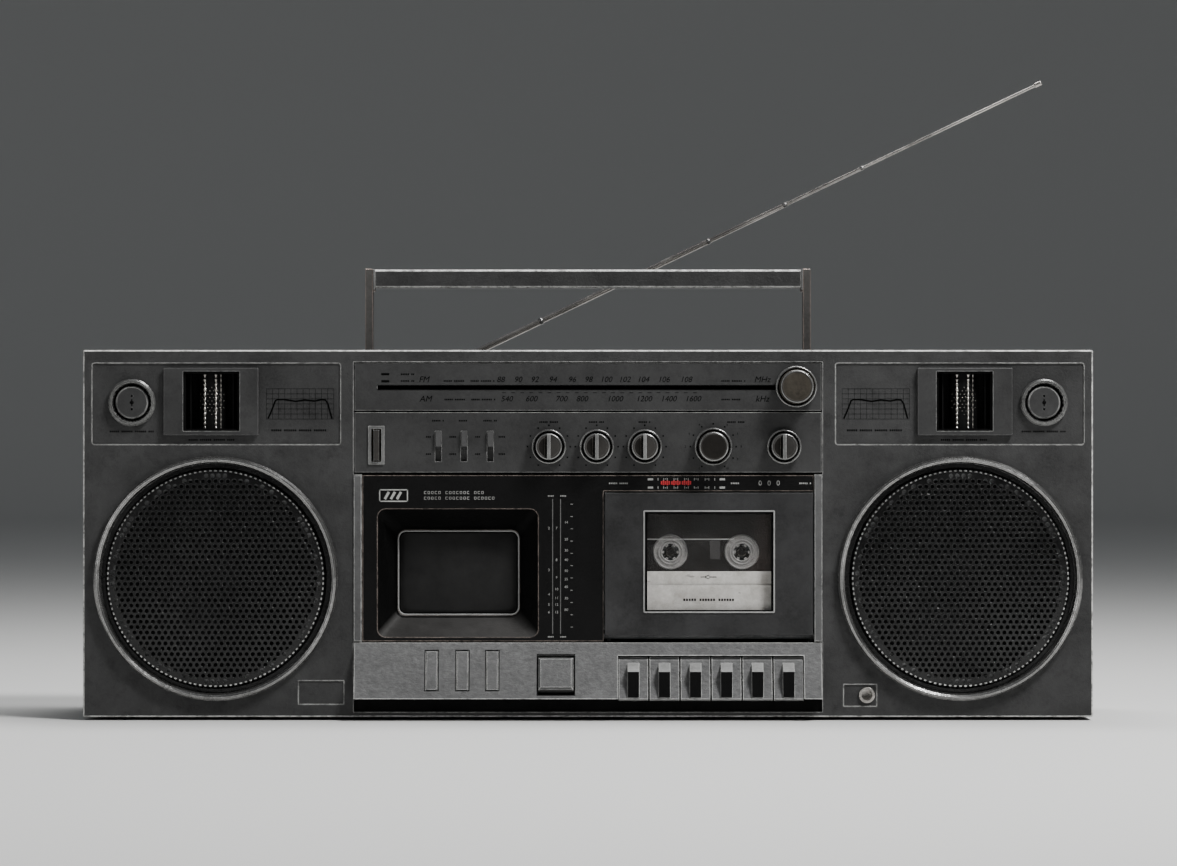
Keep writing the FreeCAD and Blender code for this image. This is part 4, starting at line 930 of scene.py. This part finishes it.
# -------------------- television
def screen_trim():
    """The light rounded bead round the picture tube's face, and a dark strip inside it that paints the
    shade in the gap.
    """
    x = (SCREEN_X[0] - 0.4, SCREEN_X[1] + 0.4)
    z = (SCREEN_Z[0] - 0.4, SCREEN_Z[1] + 0.4)
    radius, y = 5.0, FRONT + 17.4
    bm = bmesh.new()
    path = []
    for cx, cz, start in ((x[1], z[1], 0), (x[0], z[1], 90), (x[0], z[0], 180), (x[1], z[0], 270)):
        mx = cx - math.copysign(radius, cx - sum(x) / 2)
        mz = cz - math.copysign(radius, cz - sum(z) / 2)
        for step in range(9):
            angle = math.radians(start + step * 90 / 8)
            path.append((mx + radius * math.cos(angle), mz + radius * math.sin(angle),
                         math.cos(angle), math.sin(angle)))
    bead = [(0.65, 0.45), (0.65, -0.3), (0.4, -0.6), (0.0, -0.6), (-0.25, -0.3), (-0.25, 0.45)]
    gap = [(-0.25, 0.45), (-0.25, -0.15), (-1.1, -0.15), (-1.1, 0.45)]
    for index, section in enumerate((bead, gap)):
        rings = []
        for px, pz, nx, nz in path:
            places = [(px + nx * (out - 0.6), y + back, pz + nz * (out - 0.6)) for out, back in section]
            rings.append([bm.verts.new(place) for place in places])
        for face in bridge(bm, rings + rings[:1], smooth=index == 0):
            face.material_index = index
    piece("screen_trim", bm, "root", ["nub", "dark_print_and_shade"])


def channel_scale():
    """The scale right of the screen with its numbers and ticks, and the marks for the title."""
    lines = bmesh.new()
    y = mark_y(PLATE_FACE)
    for x in (-21.0, -16.3):
        add_block(lines, (x - 0.25, x + 0.25), y, (51.3, 131.5))
    panel_piece("scale_lines", lines, "grey_print")
    bm = bmesh.new()
    left = {"2": 114.1, "3": 89.3, "4": 74.8, "5": 68.7, "6": 64.2}
    middle = {"7": 114.1, "8": 95.3, "9": 84.8, "10": 77.9, "11": 72.6, "12": 68.7, "13": 64.2}
    right = {"14": 117.6, "20": 107.5, "30": 100.9, "40": 95.3, "50": 88.8, "55": 83.8, "60": 79.3,
             "70": 72.4, "80": 65.6}
    for column, x in ((left, -23.2), (middle, -18.7), (right, -12.9)):
        for words, z in column.items():
            add_text(bm, words, x, z, 1.5, PLATE_FACE)
    for i in range(11):
        z = 128.4 - 7.3 * i
        add_block(bm, (-10.4, -9.0), y, (z - 0.15, z + 0.15))
    for z in (133.3, 49.6):
        add_dashes(bm, -22.0, z, 4.0, 0.8, PLATE_FACE)
        add_dashes(bm, -14.6, z, 4.0, 0.8, PLATE_FACE)
    add_marks(bm, -97.4, 135.3, 38.0, 1.7, PLATE_FACE)
    add_marks(bm, -97.4, 132.0, 43.0, 1.7, PLATE_FACE)
    panel_piece("plate_print", bm, "white_print")


def emblem():
    """A plain badge: a thin frame with three slanting bars."""
    x, z = (-124.1, -106.9), (129.8, 137.3)
    bm = bmesh.new()
    y = (PLATE_FACE - 0.35, PLATE_FACE + 0.05)
    for bar_x, bar_z in ((x, (z[0], z[0] + 0.7)), (x, (z[1] - 0.7, z[1])),
                         ((x[0], x[0] + 0.7), z), ((x[1] - 0.7, x[1]), z)):
        add_block(bm, bar_x, y, bar_z)
    for i in range(3):
        start = x[0] + 3.4 + 3.6 * i
        add_line(bm, [(start, z[0] + 1.6), (start + 2.4, z[1] - 1.6)], 1.5, y)
    piece("badge", bm, "root", ["white_print"])


def meter_strip():
    """The level meter, the tape counter and their captions above the cassette door."""
    marks = bmesh.new()
    y = mark_y(PLATE_FACE)
    places = (37.1, 41.6, 46.0, 52.2, 58.5, 64.3, 70.7, 75.3, 79.8)
    for row, z in ((1, 143.2), (-1, 138.3)):
        for i, x in enumerate(places):
            if i in (0, len(places) - 1):
                add_block(marks, (x - 1.6, x + 1.6), y, (z - 0.6, z + 0.6))
            elif i in (1, len(places) - 2):
                add_block(marks, (x - 0.2, x + 0.2), y, (z - 0.8, z + 0.8))
            else:
                for step in (-1, 1):
                    add_block(marks, (x + step * 1.1 - 0.2, x + step * 1.1 + 0.2), y,
                              (z - 0.7, z + 0.7))
                add_block(marks, (x - 0.4, x + 0.4), y, (z + row * 0.2 - 0.2, z + row * 0.2 + 0.2))
    for x, length in ((18.2, 11.0), (88.0, 6.0), (129.2, 7.0)):
        add_dashes(marks, x, 140.8, length, 0.9, PLATE_FACE)
    for x in (102.3, 107.6, 113.0):
        add_text(marks, "0", x, 140.8, 3.0, PLATE_FACE)
    panel_piece("meter_print", marks, "white_print")
    lamps = bmesh.new()
    for group in (46.0, 52.2, 58.5):
        for step in (-2, -1, 0, 1, 2):
            x = group + step * 1.15
            tall = 1.3 if step % 2 else 0.9
            add_block(lamps, (x - 0.42, x + 0.42), (PLATE_FACE - 0.4, PLATE_FACE + 0.1),
                      (141.0 - tall, 141.2 + tall))
    piece("meter_lamps", lamps, "root", ["lamp"])


# -------------------- cassette
def cassette_print():
    """The labels on the cassette, cut round the hubs, and the lines printed on them."""
    shell_low, shell_high = low("cassette_shell"), high("cassette_shell")
    face = (low("supply_hub").y + high("supply_hub").y) / 2 - 3.15 - 1.15
    x = (shell_low.x + 1.5, shell_high.x - 1.5)
    y = (face - 0.15, face + 0.02)
    paper = bmesh.new()
    add_block(paper, x, y, (shell_low.z + 14.0, 88.4))
    nose = shell_low.y
    add_block(paper, (x[0] + 4.6, x[1] - 4.6), (nose - 0.15, nose + 0.02),
              (shell_low.z + 0.2, shell_low.z + 15.0))
    for side in ((x[0] + 1.0, x[0] + 4.6), (x[1] - 4.6, x[1] - 1.0)):
        add_block(paper, side, (nose - 0.15, face), (shell_low.z + 1.0, shell_low.z + 15.0))
    tape_piece("label_lower", paper, "paper")
    hubs = [(centre(node).x, centre(node).z) for node in ("supply_hub", "takeup_hub")]
    edge = bmesh.new()
    count, line, clear = 200, 107.2, 10.9
    below = []
    for i in range(count + 1):
        px = x[0] + (x[1] - x[0]) * i / count
        pz = line
        for hx, hz in hubs:
            if abs(px - hx) < clear:
                pz = max(pz, hz + math.sqrt(clear ** 2 - (px - hx) ** 2))
        below.append((px, pz))
    strips = []
    for px, pz in below:
        strips.append([edge.verts.new((px, depth, z))
                       for depth in y for z in (pz, shell_high.z - 1.4)])
    for a, b in zip(strips, strips[1:]):
        for i, j in ((0, 1), (1, 3), (3, 2), (2, 0)):
            edge.faces.new((a[i], a[j], b[j], b[i]))
    tape_piece("label_upper", edge, "tape_dark")
    pale = bmesh.new()
    add_block(pale, (x[0], hubs[1][0] - 4.5), (y[0] - 0.1, y[0] + 0.02), (line, line + 0.6))
    tape_piece("label_stripe", pale, "white_print")
    tab = bmesh.new()
    add_block(tab, (72.6, 78.6), (face - 0.1, face + 0.02), (95.6, 106.6))
    tape_piece("label_tab", tab, "tape_tab")
    ink = bmesh.new()
    ink_y = (y[0] - PRINT, y[0] + 0.02)
    arrow = [(67.0, 85.0), (69.5, 85.0), (71.5, 86.1), (73.0, 85.0), (71.5, 83.9), (69.5, 85.0)]
    add_line(ink, arrow, 0.42, ink_y)
    add_line(ink, [(73.0, 85.0), (76.5, 85.0)], 0.42, ink_y)
    add_dashes(ink, 72.0, 71.5, 30.0, 1.4, nose - 0.15)
    tape_piece("label_ink", ink, "dark_print_and_shade")


def window_gap():
    """A dark strip that paints the shade in the gap between the window and its light rim."""
    x = (low("door_window").x - 0.1, high("door_window").x + 0.1)
    z = (low("door_window").z - 0.1, high("door_window").z + 0.1)
    y = (DOOR_FACE - 0.82, DOOR_FACE + 0.3)
    bm = bmesh.new()
    for side in ((x[0] - 0.6, x[0] + 0.8), (x[1] - 0.8, x[1] + 0.6)):
        add_block(bm, side, y, (z[0] - 0.5, z[1] + 0.6))
    for side in ((z[0] - 0.5, z[0] + 0.3), (z[1] - 0.5, z[1] + 0.6)):
        add_block(bm, x, y, side)
    tape_piece("window_gap", bm, "dark_print_and_shade")


def hub_faces():
    """Stepped rings on the hubs' faces."""
    for node in ("supply_hub", "takeup_hub"):
        at = (centre(node).x, centre(node).z)
        face = low(node).y
        bm = bmesh.new()
        for inner, outer, reach in ((9.2, 10.2, 0.35), (6.6, 7.6, 0.45), (5.1, 5.9, 0.25)):
            profile = [(inner, face + 0.1), (inner, face - reach),
                       (outer, face - reach), (outer, face + 0.1)]
            add_turned(bm, profile, at, 72)
        piece(node + "_rings", bm, node, ["tape_hub"])


# -------------------- sill
def from_sill(x, back, up):
    """The place of a point given in the sill's own frame."""
    return Vector((x, SILL_FOOT.x + back * math.cos(SILL_LEAN) + up * math.sin(SILL_LEAN),
                   SILL_FOOT.y - back * math.sin(SILL_LEAN) + up * math.cos(SILL_LEAN)))


def add_sill_block(bm, x, back, up):
    """A cuboid in the sill's own frame."""
    add_cuboid(bm, [from_sill(x[i], back[j], up[k]) for i, j, k in CORNERS])


def button_outlines():
    """Dark strips round the flush buttons and the square button's opening, painted shade in the gaps."""
    bm = bmesh.new()
    width, back = 0.55, (-0.06, 0.3)
    middle = (29.9 - SILL_FOOT.y) / math.cos(SILL_LEAN)
    for node in ("channel_button_low", "channel_button_mid", "channel_button_high", "eject_button"):
        square = node == "eject_button"
        flange = 1.3 if square else 1.2
        x = (low(node).x + flange - 0.5, high(node).x - flange + 0.5)
        up = (2.66, 27.26) if square else (middle - 12.3, middle + 12.3)
        for side in (x[0] - width, x[1]):
            add_sill_block(bm, (side, side + width), back, (up[0] - width, up[1] + width))
        for side in (up[0] - width, up[1]):
            add_sill_block(bm, x, back, (side, side + width))
    piece("button_outlines", bm, "root", ["dark_print_and_shade"])


# -------------------- back
def dust_cloth():
    """A dark sheet inside the vents, put there so that no light comes through and the dial's slot stays in
    shade.
    """
    inner = high("rear_cabinet").y - 3.0
    bm = bmesh.new()
    add_block(bm, (-140.0, -11.0), (inner - 0.6, inner - 0.1), (115.0, 157.0))
    piece("dust_cloth", bm, "root", ["black"])


# -------------------- aerial
def aerial_axis():
    """The ends of the aerial's first four tubes and the direction of their axis.

    A tilted tube's box reaches past its end by the radius, so the ends and the axis are found in turns.
    """
    corners = [high(f"aerial_section_{i}") for i in range(1, 5)]
    y = centre("aerial_section_1").y
    along = (corners[3] - corners[0]).normalized()
    for _ in range(3):
        ends = [Vector((c.x - r * along.z, y, c.z - r * along.x)) for c, r in zip(corners, AERIAL_RADII)]
        along = (ends[3] - ends[0]).normalized()
    return ends, along


def aerial_collars():
    """A turned collar at the end of each tube, true to its axis."""
    ends, along = aerial_axis()
    turn = along.to_track_quat("Z", "X").to_matrix().to_4x4()
    outline = [(-2.7, -0.1), (-2.3, 0.3), (-1.0, 0.3), (-0.6, 0.1), (0.05, -0.02), (0.05, -0.15)]
    angles = [2 * math.pi * k / 24 for k in range(24)]
    for index, (end, radius) in enumerate(zip(ends, AERIAL_RADII), 1):
        bm = bmesh.new()
        rings = []
        for at, step in outline:
            r = radius + step
            rings.append([bm.verts.new((r * math.cos(a), r * math.sin(a), at)) for a in angles])
        bridge(bm, rings)
        bmesh.ops.transform(bm, matrix=Matrix.Translation(end) @ turn, verts=bm.verts)
        name = f"aerial_section_{index}_collar"
        piece(name, bm, f"aerial_{index}", ["ring"])


# -------------------- handle
def handle_details():
    """The clips at the grip's ends."""
    bm = bmesh.new()
    z = (257.6, high("handle_arms").z - 0.2)
    y = low("handle_arms").y
    for side in (-1, 1):
        x = sorted((side * 129.3, side * 130.4))
        add_block(bm, x, (y - 0.5, y + 3.0), z)
    clips = piece("grip_clips", bm, "handle", ["light_trim"])
    soften(clips, 0.3)


# -------------------- stage, lights and camera
def studio():
    """A round floor that curves up into a wall, wide enough for a camera on any side."""
    bm = bmesh.new()
    reach, curve, wall, steps = 7.0, 2.0, 6.0, 96
    outline = [(2.5, 0.0), (reach, 0.0)]
    for step in range(1, 13):
        angle = math.radians(step * 90 / 12)
        outline.append((reach + curve * math.sin(angle), curve - curve * math.cos(angle)))
    outline.append((reach + curve, wall))
    hub = bm.verts.new((0, 0, 0))
    angles = [2 * math.pi * k / steps for k in range(steps)]
    rings = [[bm.verts.new((r * math.cos(a), r * math.sin(a), z)) for a in angles] for r, z in outline]
    for k in range(steps):
        bm.faces.new((hub, rings[0][k], rings[0][(k + 1) % steps])).smooth = True
    for a, b in zip(rings, rings[1:]):
        for k in range(steps):
            bm.faces.new((a[k], b[k], b[(k + 1) % steps], a[(k + 1) % steps])).smooth = True
    mesh = bpy.data.meshes.new("studio_floor")
    bm.to_mesh(mesh)
    bm.free()
    floor = bpy.data.objects.new("studio_floor", mesh)
    bpy.context.scene.collection.objects.link(floor)
    material = bpy.data.materials.new("studio_floor")
    material.use_nodes = True
    shader = material.node_tree.nodes["Principled BSDF"]
    shader.inputs["Base Color"].default_value = (0.62, 0.62, 0.61, 1)
    shader.inputs["Roughness"].default_value = 0.85
    mesh.materials.append(material)


def area_light(name, place, target, size, power):
    """A soft rectangular light at a place, turned to a target."""
    light = bpy.data.lights.new(name, "AREA")
    light.shape = "RECTANGLE"
    light.size, light.size_y = size
    light.energy = power
    obj = bpy.data.objects.new(name, light)
    obj.location = place
    obj.rotation_euler = (Vector(target) - Vector(place)).to_track_quat("-Z", "Y").to_euler()
    bpy.context.scene.collection.objects.link(obj)


def lights():
    """A key light from the upper right, one from above, a weak fill and a dim sky."""
    area_light("key", (0.95, -1.05, 1.75), (0.0, 0.0, 0.12), (0.5, 0.5), 62.0)
    area_light("top", (0.25, 0.3, 1.7), (0.0, 0.0, 0.2), (1.4, 0.5), 30.0)
    area_light("fill", (-1.7, -1.9, 0.7), (0.0, 0.0, 0.12), (1.2, 1.2), 6.0)
    world = bpy.data.worlds.new("studio")
    world.use_nodes = True
    world.node_tree.nodes["Background"].inputs["Color"].default_value = (0.9, 0.95, 1.0, 1)
    world.node_tree.nodes["Background"].inputs["Strength"].default_value = 0.13
    bpy.context.scene.world = world


def camera():
    """Straight at the front, level, from three metres."""
    distance, view_width, sensor = 3.0, 0.699, 36.0
    data = bpy.data.cameras.new("camera")
    data.sensor_width = sensor
    data.lens = sensor * distance / view_width
    obj = bpy.data.objects.new("camera", data)
    obj.location = (0.0003, FRONT * MM - distance, 0.1707)
    obj.rotation_euler = (math.pi / 2, 0, 0)
    bpy.context.scene.collection.objects.link(obj)
    bpy.context.scene.camera = obj


for build in (camera, studio, lights, dress_cad, knobs, switch_floors, domed_grilles, grille_rims,
              horn_bars, microphone_dots, response_charts, dial_print, control_print, screen_trim,
              channel_scale, emblem, meter_strip, cassette_print, window_gap, hub_faces, button_outlines,
              dust_cloth, aerial_collars, handle_details):
    build()
